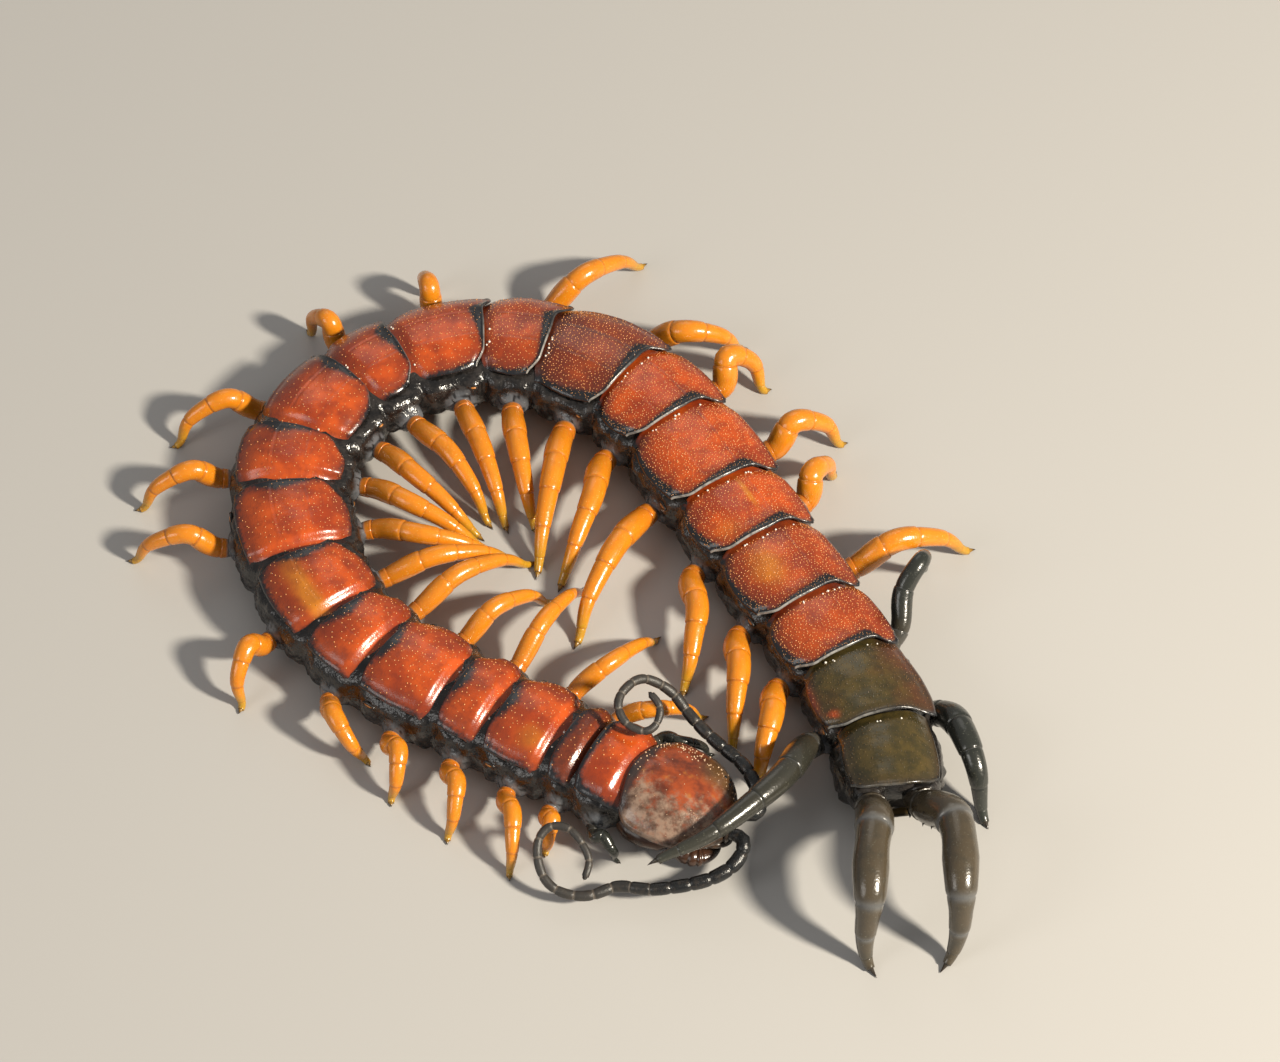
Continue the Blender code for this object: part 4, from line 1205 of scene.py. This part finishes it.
def loft(stations, left_half):
    """Rings along the body from left_half(s), points of the left half from the top to the bottom."""
    rings = []
    for s in stations:
        half = left_half(s)
        right = [(-side, height) for side, height in half[1:-1]][::-1]
        ring = closed_ring(half + right, LOFT_SIDES)
        rings.append(place(s, ring[:, 0], ring[:, 1]))
    return np.array(rings)


# Half-width of the head below its plate
HEAD_BASE = ((-0.12, 0.9), (0.1, 1.5), (0.5, 2.1), (1.0, 2.55), (1.8, 3.1), (3.0, 3.6), (4.4, 3.8),
             (5.6, 3.6), (6.6, 3.2), (7.3, 2.7))


def head_base_half(s):
    width = blend(s, HEAD_BASE)
    crown = blend(s, HEAD_CROWN) - 0.42
    edge = blend(s, HEAD_EDGE) - 0.1
    return [(0.0, crown), (0.6 * width, (crown + edge) / 2 + 0.1), (width, edge - 0.1),
            (width - 0.05, (edge + HEAD_FLOOR) / 2), (0.8 * width, HEAD_FLOOR),
            (0.0, HEAD_FLOOR - 0.05)]


def build_head(shell, finish_base, eye):
    shape = Shape()
    add_sheet(shape, head_surface, HEAD_REAR, HEAD_HALF_WIDTH, HEAD_SPACING)
    add_grains(shape, head_surface, *head_grain_spots(), GRAIN_PALE_GLINT)
    shape.make("head_plate", shell, "head", ("head",))
    base = Shape()
    rings = loft(np.linspace(HEAD_BASE[0][0], HEAD_BASE[-1][0], 44), head_base_half)
    rings[..., 2] += 0.05 * ripple(rings, 1.2, SEED + 42)
    base.add(rings, tube_faces(len(rings), LOFT_SIDES))
    for side_sign in (1, -1):
        add_socket(base, side_sign)
        add_palp(base, side_sign)
    add_lip(base)
    base.make("head_base", finish_base, "head")
    eyes = Shape()
    for side_sign in (1, -1):
        for s, share in OCELLI:
            spot = head_surface(np.array([s / HEAD_REAR]), np.array([side_sign * share]), 1)[0][0]
            add_ball(eyes, spot + (0, 0, -0.04), OCELLUS_RADIUS)
    eyes.make("ocelli", eye, "head")


def add_ball(shape, centre, radius, rings=12, sides=20):
    turns = np.linspace(0, math.pi, rings)[1:-1]
    angles = 2 * math.pi * np.arange(sides) / sides
    out = np.sin(turns)
    ring = columns(np.outer(out, np.cos(angles)), np.outer(out, np.sin(angles)),
                   np.outer(np.cos(turns), np.ones(sides)))
    shape.add(np.asarray(centre) + radius * ring, tube_faces(rings - 2, sides))


def add_socket(shape, side_sign):
    """The raised ring that a feeler comes out of."""
    turns = np.linspace(0, 2 * math.pi, 33)
    ring = place(-0.02, side_sign * 0.95 + 0.55 * np.cos(turns), 2.95 + 0.5 * np.sin(turns))
    add_tube(shape, ring, np.full(33, 0.13), 10)


LIP_REACH = 1.4


def add_lip(shape):
    """The upper lip between the feelers: a rounded bar with three blunt teeth."""
    run = np.linspace(-LIP_REACH, LIP_REACH, 25)
    bar = place(0.05 * run ** 2, run, 2.42 - 0.03 * run ** 2)
    add_tube(shape, bar, 0.1 + 0.16 * np.sqrt(1 - (run / (LIP_REACH + 0.05)) ** 2), 12)
    for side in (-0.3, 0.0, 0.3):
        cone(shape, place(0.0, side, 2.4), place(-0.22, side, 2.1), 0.12)


PALP = ((2.6, 1.4, 2.1), (1.4, 1.7, 1.95), (0.5, 1.45, 1.9), (0.0, 0.95, 1.85), (-0.1, 0.5, 1.8))
PALP_RADIUS = 0.36
PALP_JOINTS = (0.36, 0.68)
PALP_TIP = (0.95, 0.8, 0.55, 0.2)


def add_palp(shape, side_sign):
    """One leg-like palp of the second jaws, folded below the front of the head."""
    points, share = body_path(PALP, side_sign).walk(40)
    necks = sum(0.16 * bell(share, joint, 0.03) for joint in PALP_JOINTS)
    radii = PALP_RADIUS * (1 - 0.35 * share) * (1 - necks)
    radii[-len(PALP_TIP):] *= PALP_TIP
    add_tube(shape, points, radii, 12)


# Venom claws and the plate that carries them

CLAW_PLATE_WIDTH = ((3.3, 2.2), (3.6, 2.7), (4.1, 3.1), (5.3, 3.4), (6.5, 3.35), (7.3, 2.9))
CLAW_PLATE_LOW = ((3.3, 0.95), (3.6, 0.8), (4.1, 0.62), (5.3, 0.55), (6.5, 0.55), (7.3, 0.8))
CLAW_PLATE_TOP = HEAD_FLOOR - 0.05
CLAW_PLATE_FRONT = 3.6
CLAW_PLATE_TEETH = 5
VENOM_CLAW = (
    (CLAW_PLATE_FRONT + 0.7, 1.75, 1.35), (CLAW_PLATE_FRONT - BENT_GAP, 1.75, 1.3),
    (2.7, 2.3, 1.25), (1.9, 2.5, 1.2), (1.1, 2.1, 1.15), (0.65, 1.35, 1.1), (0.6, 0.7, 1.05),
)
VENOM_JOINTS = (0.5, 0.58, 0.64)
VENOM_RADII = ((0.0, 0.7), (0.16, 0.8), (0.33, 0.92), (0.46, 0.84), (0.5, 0.78), (0.53, 0.82),
               (0.58, 0.72), (0.61, 0.76), (0.66, 0.62), (0.8, 0.4), (0.92, 0.2), (1.0, 0.04))


def claw_plate_half(s):
    width = blend(s, CLAW_PLATE_WIDTH)
    low = blend(s, CLAW_PLATE_LOW)
    middle = (CLAW_PLATE_TOP + low) / 2
    return [(0.0, CLAW_PLATE_TOP), (0.7 * width, CLAW_PLATE_TOP), (width, middle + 0.3),
            (width, middle - 0.25), (0.75 * width, low + 0.05), (0.0, low)]


def build_claw_plate(finish):
    """The plate below the head, with a toothed lobe on either side of its front."""
    shape = Shape()
    ends = CLAW_PLATE_WIDTH[0][0], CLAW_PLATE_WIDTH[-1][0]
    rings = loft(np.linspace(*ends, 30), claw_plate_half)
    shape.add(rings, tube_faces(len(rings), LOFT_SIDES))
    for side_sign in (1, -1):
        front = CLAW_PLATE_FRONT - 0.3
        add_ball(shape, place(front, side_sign * 0.55, 1.05), 0.5)
        for tooth in range(CLAW_PLATE_TEETH):
            side = side_sign * (0.18 + 0.2 * tooth)
            cone(shape, place(front - 0.3, side, 0.95), place(front - 0.75, side, 0.9), 0.1)
    shape.make("forcipular_plate", finish, "head", ("claw_plate",))


def build_venom_claws(finish):
    for word, side_sign in (("left", 1), ("right", -1)):
        points, share = body_path(VENOM_CLAW, side_sign).walk(90)
        radii = blend(share, VENOM_RADII)
        for joint in VENOM_JOINTS:
            radii *= 1 - 0.12 * bell(share, joint, 0.008)
        near = sum(bell(share, joint, 0.014) for joint in VENOM_JOINTS)
        zero = np.zeros_like(share)
        places = columns(share, near, zero)
        tints = columns(zero, 1.2 * smooth(share, 0.7, 0.88), zero)
        shape = Shape()
        add_tube(shape, points, radii, 28, squeeze=0.8, places=places, tints=tints)
        shape.make(f"forcipule_{word}", finish, "dark_leg", (f"venom_claw_{word}",))


# Walking legs

LEG_SIDES = 20
LEG_RADII = (
    (0.0, 0.78), (0.09, 0.86), (0.2, 0.92), (0.33, 0.85), (0.43, 0.8), (0.54, 0.7),
    (0.64, 0.62), (0.75, 0.5), (0.86, 0.38), (0.955, 0.26), (1.0, 0.12),
)
LAST_PAIR_RADII = (
    (0.0, 1.1), (0.12, 1.32), (0.27, 1.35), (0.36, 1.2), (0.48, 1.28), (0.62, 1.05), (0.68, 0.85),
    (0.78, 0.72), (0.88, 0.5), (0.955, 0.3), (1.0, 0.12),
)
# Shares of the leg's length at which one article ends and the next begins
LEG_JOINTS = (0.06, 0.29, 0.5, 0.71, 0.87)
LAST_PAIR_JOINTS = (0.05, 0.29, 0.62, 0.78, 0.9)
CLAW_START = 0.955
# Along one article: position, and radius above or below the leg's own taper
ARTICLE = ((0.0, -0.065), (0.015, -0.065), (0.05, -0.03), (0.12, -0.015), (0.25, -0.005),
           (0.4, 0.0), (0.55, 0.01), (0.7, 0.015), (0.82, 0.022), (0.9, 0.025), (0.95, 0.018),
           (0.98, -0.01), (0.992, -0.045))


def plan_points(route):
    """Plan positions moved to the frame whose middle is the animal's."""
    return [np.array(point, float) - (CENTRE[0], CENTRE[1], 0.0) for point in route]


def leg_root(pair, side_sign, sweep):
    """Root point of a leg at the flank, the way out, and its distance along the body."""
    index = pair - 1
    s = PLATE_STARTS[index] + blend(sweep, ROOT_SHARES) * PLATE_LENGTHS[index]
    side = side_sign * (flank_side(s, side_sign, PLATE_HALF_WIDTHS[index]) + BENT_GAP)
    root = place(s, side, LEG_ROOT_HEIGHT)
    outward = place(s, side + side_sign, LEG_ROOT_HEIGHT) - root
    return root, unit(outward), s


def last_leg_root(side_sign):
    """Root point of a last leg at the end of the body, and the way out."""
    root = place(BODY_END + GAP, side_sign * LAST_PAIR_SIDE, LAST_PAIR_HEIGHT)
    ahead = place(BODY_END + GAP + 1.0, side_sign * LAST_PAIR_SIDE, LAST_PAIR_HEIGHT)
    return root, unit(ahead - root)


def first_joint(root, outward, along):
    """End of the first short joint, which leans from the flank towards where the leg goes."""
    lean = outward + (along - outward) * TROCHANTER_TURN + (0.0, 0.0, TROCHANTER_RISE)
    return root + unit(lean) * TROCHANTER


def standing_route(pair, side_sign, reach, sweep, bow, knee):
    """Joints of a leg that arches out from the flank down to its claw on the floor."""
    root, outward, s = leg_root(pair, side_sign, sweep)
    tailward = SPINE.heading(s)
    headward = np.array([-tailward[0], -tailward[1], 0.0])
    flat_out = np.array([tailward[1], -tailward[0], 0.0]) * side_sign
    turn = math.radians(sweep)
    along = flat_out * math.cos(turn) + headward * math.sin(turn)
    aside = headward * math.cos(turn) - flat_out * math.sin(turn)
    base = np.array([root[0], root[1], 0.0])
    route = [root, first_joint(root, outward, along)]
    for share, knee_share in LEG_STANCE:
        plan = base + along * reach * share + aside * bow * 4 * share * (1 - share)
        route.append(plan + (0.0, 0.0, knee * knee_share))
    for behind, height in zip((CLAW, 0.0), CLAW_HEIGHTS):
        route.append(base + along * (reach - behind) + (0.0, 0.0, height))
    return route


def raised_route(root, outward, points):
    """Joints of a leg that lies in the air, through points of its own."""
    points = plan_points(points)
    return [root, first_joint(root, outward, unit(points[0] - root)), *points]


def leg_routes():
    """Joints of every leg, by side and pair."""
    found = {}
    for word, side_sign, poses in (("left", 1, LEFT_LEGS), ("right", -1, RIGHT_LEGS)):
        for pair, pose in enumerate(poses, start=1):
            found[word, pair] = standing_route(pair, side_sign, *pose)
    for (word, pair), points in RAISED_LEGS.items():
        side_sign = 1 if word == "left" else -1
        if pair == LAST_PAIR:
            root, outward = last_leg_root(side_sign)
        else:
            root, outward, _ = leg_root(pair, side_sign, RAISED_SWEEP)
        found[word, pair] = raised_route(root, outward, points)
    return found


# How far a leg reaches into the body
LEG_INSIDE = 1.1
# How brown some dark legs are
LEG_BROWN = {("left", 20): 0.15, ("left", 21): 0.7, ("right", 21): 0.7}
# How slim some legs are beside their pair
LEG_SLIM = {("right", 19): 0.8}
# Spines on the inner side of the last legs: distance along the leg and angle above level
THORNS = ((1.5, 35.0), (2.6, 25.0), (1.7, -30.0), (2.9, -25.0))
THORN_LENGTH = 0.42
THORN_RADIUS = 0.1


def leg_profile(length, pair):
    """Distances along a leg, radii, shares of its length, nearness to a joint, bare joint skin."""
    joints, table = LEG_JOINTS, LEG_RADII
    if pair == LAST_PAIR:
        joints, table = LAST_PAIR_JOINTS, LAST_PAIR_RADII
    bounds = [0.0, *joints, CLAW_START]
    rows = [(-LEG_INSIDE, 0.9, 0.0, 1.0), (-0.5, 0.95, 0.0, 1.0)]
    for start, end in zip(bounds, bounds[1:]):
        for x, swell in ARTICLE:
            share = start + (end - start) * x
            before = x * (end - start) * length
            after = (1 - x) * (end - start) * length
            near = max(bell(before, 0.0, 0.1) if start > 0 else 0.0, bell(after, 0.0, 0.14))
            bare = 1.0 if (x < 0.03 and start > 0) or end == joints[0] else 0.0
            rows.append((share * length, 1 + swell, near if end < CLAW_START else 0.3 * near, bare))
    rows.append((CLAW_START * length, 0.78, 0.0, 0.0))
    distance, swell, near, bare = np.array(rows).T
    share = np.clip(distance / length, 0, 1)
    return distance, blend(share, table) * blend(pair, LEG_THICKNESS) * swell, share, near, bare


def build_legs(amber, black, horn):
    claws = {"left": Shape(), "right": Shape()}
    thorns = Shape()
    for (word, pair), route in leg_routes().items():
        path = Path(route)
        slim = LEG_SLIM.get((word, pair), 1.0)
        thick = blend(pair, LEG_THICKNESS) * slim
        distance, radii, share, near, bare = leg_profile(path.length, pair)
        radii = radii * slim
        dark_leg = (word, pair) in DARK_LEGS
        soft = bare * (0.3 if dark_leg else 0.12)
        if pair == LAST_PAIR:
            soft = sum(0.55 * bell(share, joint, 0.022) for joint in LAST_PAIR_JOINTS[1:4])
        soft = np.maximum(soft, (0.2 if dark_leg else 0.8) * smooth(share, 0.035, 0.0))
        brown = np.full_like(share, LEG_BROWN.get((word, pair), 0.0))
        shape = Shape()
        add_tube(shape, path.at(distance), radii, LEG_SIDES,
                 places=columns(share, near, np.zeros_like(share)),
                 tints=columns(soft, 0.7 * smooth(share, 0.93, 0.96), brown))
        add_spurs(shape, path, radii, distance, thick)
        if pair == LAST_PAIR:
            add_thorns(thorns, path, radii, distance, 1 if word == "left" else -1)
        finish, slot = (black, "dark_leg") if dark_leg else (amber, "leg")
        shape.make(f"{word}_leg_{pair:02d}", finish, slot, (f"leg_{word}_{pair:02d}",))
        add_claw(claws[word], path, thick, dark_leg)
    for word, shape in claws.items():
        shape.make(f"claws_{word}", horn, "dark_leg")
    thorns.make("hind_leg_thorns", horn, "dark_leg")


def add_thorns(shape, path, radii, distance, side_sign):
    """The short spines on the inner side of a last leg."""
    for along, lift in THORNS:
        centre = path.at(along)
        ahead = path.heading(along)
        inward = unit(np.cross((0.0, 0.0, 1.0), ahead)) * side_sign
        up = np.cross(ahead, inward)
        up *= np.sign(up[2])
        out = inward * math.cos(math.radians(lift)) + up * math.sin(math.radians(lift))
        root = centre + out * np.interp(along, distance, radii) * 0.9
        tip = root + (out * 0.8 + ahead * 0.5) * THORN_LENGTH
        cone(shape, root, tip, THORN_RADIUS, tint=(1.0, 0.0, 0.0))


CLAW_TAPER = (0.9, 0.95, 0.9, 0.78, 0.64, 0.5, 0.36, 0.2, 0.04)
CLAW_RADIUS = 0.19
# Spurs: share along the leg, length, and how many side by side
SPURS = ((LEG_JOINTS[-1] - 0.01, 0.34, 1), (CLAW_START - 0.01, 0.2, 2))
SPUR_RADIUS = 0.055


def add_claw(shape, path, thick, dark_leg):
    """A slim hooked claw: place is the share along it, and tint is 1 on a black leg."""
    along = np.linspace(0, 1, len(CLAW_TAPER))
    points = path.at((CLAW_START - 0.012 + (1.012 - CLAW_START) * along) * path.length)
    points[:, 2] += 0.05 * np.sin(math.pi * along)
    add_tube(shape, points, np.array(CLAW_TAPER) * CLAW_RADIUS * thick, 12,
             places=columns(along, 0 * along, 0 * along), tints=(float(dark_leg), 0.0, 0.0))


def add_spurs(shape, path, radii, distance, thick):
    """Small spurs: one below the joint before the last article, and two beside the claw."""
    for share, length, count in SPURS:
        spot = path.at(share * path.length)
        ahead = path.heading(share * path.length)
        aside = unit(np.cross(ahead, (0.0, 0.0, 1.0)))
        below = np.cross(ahead, aside)
        below *= -np.sign(below[2]) if below[2] else 1.0
        radius = np.interp(share * path.length, distance, radii)
        for k in range(count):
            lean = 0.75 * (2 * k - (count - 1))
            out = below * math.cos(lean) + aside * math.sin(lean)
            root = spot + out * radius * 0.8
            tip = root + (ahead * 0.9 + out * 0.45) * length * thick
            tip[2] = max(tip[2], 0.03)
            root[2] = max(root[2], 0.05)
            cone(shape, root, tip, SPUR_RADIUS * thick, tint=(0.0, 0.6, 0.0))


# The side lobes of the last ring: distance behind the end of the body, side and height
LOBE = ((-4.6, 2.2, 2.6), (-3.0, 2.3, 2.7), (-1.4, 2.1, 2.9), (0.1, 1.8, 3.15))
LOBE_RADIUS = 1.25
LOBE_SPUR = ((-0.4, 1.2, 2.2), (0.8, 0.95, 2.0))
LOBE_SPUR_RADIUS = 0.42


def build_last_ring(finish):
    """The two side lobes of the last ring that carry the hind legs."""
    lobes = Shape()
    for side_sign in (1, -1):
        stations = [(BODY_END + behind, side, height) for behind, side, height in LOBE]
        centre, share = body_path(stations, side_sign).walk(30)
        radii = LOBE_RADIUS * (0.5 + 0.5 * smooth(share, 0.0, 0.3))
        radii *= 1 - 0.12 * smooth(share, 0.85, 1.0)
        ring = tube_points(centre, radii, 28)
        ring += 0.05 * ripple(ring, 0.8, SEED + 50)[..., None] * (ring - centre[:, None])
        lobes.add(ring, tube_faces(30, 28), tints=(0.25, 0.0, 0.0))
        root, tip = (place(BODY_END + behind, side_sign * side, height)
                     for behind, side, height in LOBE_SPUR)
        cone(lobes, root, tip, LOBE_SPUR_RADIUS, sides=12)
    lobes.make("coxopleura", finish, "hind_trunk")


# Feelers

ARTICLES = 19
SMOOTH_ARTICLES = 6
ANTENNA_SIDES = 16
# Hairs on each article, their radius and their lengths
HAIRS = 26
HAIR_RADIUS = 0.011
HAIR_LENGTHS = (0.1, 0.17)
# Along one article: position, radius above or below the feeler's taper, and nearness to a joint
ANTENNA_ARTICLE = ((0.0, -0.14, 1.0), (0.05, -0.12, 1.0), (0.1, -0.02, 0.3), (0.25, 0.03, 0.0),
                   (0.5, 0.05, 0.0), (0.75, 0.04, 0.0), (0.9, 0.02, 0.05), (0.96, -0.03, 0.7))


def build_antenna(word, side_sign, plan_route, finish, hair_finish):
    root = [place(s, side_sign * side, height) for s, side, height in ANTENNA_ROOT]
    path = Path(root + plan_points(plan_route), per_span=12)
    bounds = np.linspace(0, 1, ARTICLES + 1) ** 0.93
    rows = [(-0.7, 1.0, 0.0), (-0.3, 1.0, 0.0)]
    for start, end in zip(bounds, bounds[1:]):
        for x, swell, near in ANTENNA_ARTICLE:
            rows.append(((start + (end - start) * x) * path.length, 1 + swell, near))
    rows.append((path.length * 0.997, 0.8, 0.0))
    rows.append((path.length, 0.35, 0.0))
    distance, swell, near = np.array(rows).T
    share = np.clip(distance / path.length, 0, 1)
    radii = blend(share, ANTENNA_RADII) * swell
    near = near * (0.35 + 0.65 * smooth(share, 0.2, 0.5))
    places = columns(share, near, np.zeros_like(share))
    shape = Shape()
    add_tube(shape, path.at(distance), radii, ANTENNA_SIDES, places=places)
    shape.make(f"{word}_antenna", finish, "antenna", (f"antenna_{word}",))
    hairs = Shape()
    draw = np.random.default_rng(SEED + 60 + side_sign)
    count = HAIRS * (ARTICLES - SMOOTH_ARTICLES)
    spots = draw.uniform(bounds[SMOOTH_ARTICLES], 0.995, count) * path.length
    centres = path.at(spots)
    headings = path.heading(spots)
    for centre, ahead, spot in zip(centres, headings, spots):
        out = unit(np.cross(ahead, draw.normal(size=3)))
        base = centre + out * blend(spot / path.length, ANTENNA_RADII) * 0.9
        tip = base + (out * 0.75 + ahead * 0.6) * draw.uniform(*HAIR_LENGTHS)
        cone(hairs, base, tip, HAIR_RADIUS, sides=3)
    hairs.make(f"{word}_antenna_hairs", hair_finish, "antenna")


# Stage, light and camera: these lengths are metres

FLOOR_REACH = 3.0
FLOOR_COLOUR = (0.47, 0.46, 0.445, 1.0)
FLOOR_ROUGHNESS = 0.75
WORLD_COLOUR = (0.96, 0.95, 0.94, 1.0)
WORLD_STRENGTH = 0.28
# Place, size, power and colour
LIGHTS = {
    "key": ((0.31, -0.16, 0.26), 0.05, 3.3, (1.0, 0.91, 0.76)),
    "fill": ((-0.33, -0.20, 0.24), 0.22, 0.35, (1.0, 0.98, 0.95)),
    "back": ((-0.05, 0.35, 0.30), 0.25, 0.12, (1.0, 0.97, 0.92)),
}


def area_light(name, spot, size, power, colour):
    """A round soft light that faces the middle of the animal."""
    data = bpy.data.lights.new(name, "AREA")
    data.shape = "DISK"
    data.size = size
    data.energy = power
    data.color = colour
    lamp = bpy.data.objects.new(name, data)
    lamp.location = spot
    lamp.rotation_euler = (-Vector(spot)).to_track_quat("-Z", "Y").to_euler()
    bpy.context.scene.collection.objects.link(lamp)


def build_stage():
    maker = bmesh.new()
    bmesh.ops.create_grid(maker, x_segments=1, y_segments=1, size=FLOOR_REACH)
    mesh = bpy.data.meshes.new("floor")
    maker.to_mesh(mesh)
    maker.free()
    floor = bpy.data.objects.new("floor", mesh)
    bpy.context.scene.collection.objects.link(floor)
    paint = bpy.data.materials.new("floor_paint")
    paint.use_nodes = True
    shader = paint.node_tree.nodes["Principled BSDF"]
    shader.inputs["Base Color"].default_value = FLOOR_COLOUR
    shader.inputs["Roughness"].default_value = FLOOR_ROUGHNESS
    mesh.materials.append(paint)
    world = bpy.data.worlds.new("studio")
    world.use_nodes = True
    sky = world.node_tree.nodes["Background"]
    sky.inputs["Color"].default_value = WORLD_COLOUR
    sky.inputs["Strength"].default_value = WORLD_STRENGTH
    bpy.context.scene.world = world
    bpy.context.scene.view_settings.view_transform = "Standard"
    for name, settings in LIGHTS.items():
        area_light(name, *settings)


def build_camera():
    data = bpy.data.cameras.new("camera")
    data.sensor_width = SENSOR_WIDTH
    data.lens = data.sensor_width / 2 / math.tan(VIEW_ANGLE / 2)
    data.clip_start = 0.01
    data.clip_end = 20.0
    camera = bpy.data.objects.new("camera", data)
    back = VIEW_DISTANCE * math.cos(VIEW_ELEVATION)
    up = VIEW_DISTANCE * math.sin(VIEW_ELEVATION)
    camera.location = (-CENTRE[0] * MM, (-back - CENTRE[1]) * MM, up * MM)
    camera.rotation_euler = (math.pi / 2 - VIEW_ELEVATION, 0.0, 0.0)
    bpy.context.scene.collection.objects.link(camera)
    bpy.context.scene.camera = camera


def main():
    build_camera()
    build_stage()
    back = plate_finish()
    for index in range(PLATE_COUNT):
        Plate(index).build(back)
    skin = skin_finish()
    routes = leg_routes()
    roots = [route[0] for (_, pair), route in routes.items() if pair < LAST_PAIR]
    build_skin(skin, roots)
    black_rim = plain_finish("spiracle_rim", (0.012, 0.011, 0.011), (0.03, 0.027, 0.025), 0.22)
    slit = plain_finish("spiracle_slit", (0.34, 0.12, 0.02), (0.5, 0.2, 0.04), 0.3)
    build_spiracles(black_rim, slit)
    build_belly_plates(belly_finish())
    shell = head_finish()
    jaw = plain_finish("head_underside", (0.022, 0.016, 0.012), (0.060, 0.034, 0.019), 0.3, 0.8)
    eye = plain_finish("ocellus", (0.006, 0.006, 0.006), (0.01, 0.009, 0.009), 0.12)
    build_head(shell, jaw, eye)
    under = plain_finish("forcipular_shell", (0.035, 0.017, 0.011), (0.075, 0.030, 0.015), 0.28, 0.9)
    build_claw_plate(under)
    amber = leg_finish("amber_leg", (0.55, 0.160, 0.010), (0.68, 0.225, 0.010), (0.46, 0.25, 0.016),
                       (0.36, 0.095, 0.008), (0.78, 0.5, 0.16), 0.24, 0.2)
    black = leg_finish("black_leg", (0.042, 0.034, 0.022), (0.022, 0.024, 0.020),
                       (0.030, 0.034, 0.028), (0.010, 0.010, 0.009), (0.17, 0.17, 0.13), 0.24, 0.0)
    venom = leg_finish("venom_claw", (0.06, 0.028, 0.014), (0.05, 0.022, 0.012),
                       (0.03, 0.018, 0.012), (0.03, 0.018, 0.012), (0.10, 0.05, 0.03), 0.22, 0.0)
    build_venom_claws(venom)
    build_legs(amber, black, claw_finish())
    build_last_ring(skin)
    feeler = antenna_finish()
    hair = plain_finish("antenna_hair", (0.16, 0.12, 0.09), (0.26, 0.2, 0.15), 0.5)
    build_antenna("left", 1, LEFT_ANTENNA, feeler, hair)
    build_antenna("right", -1, RIGHT_ANTENNA, feeler, hair)


main()
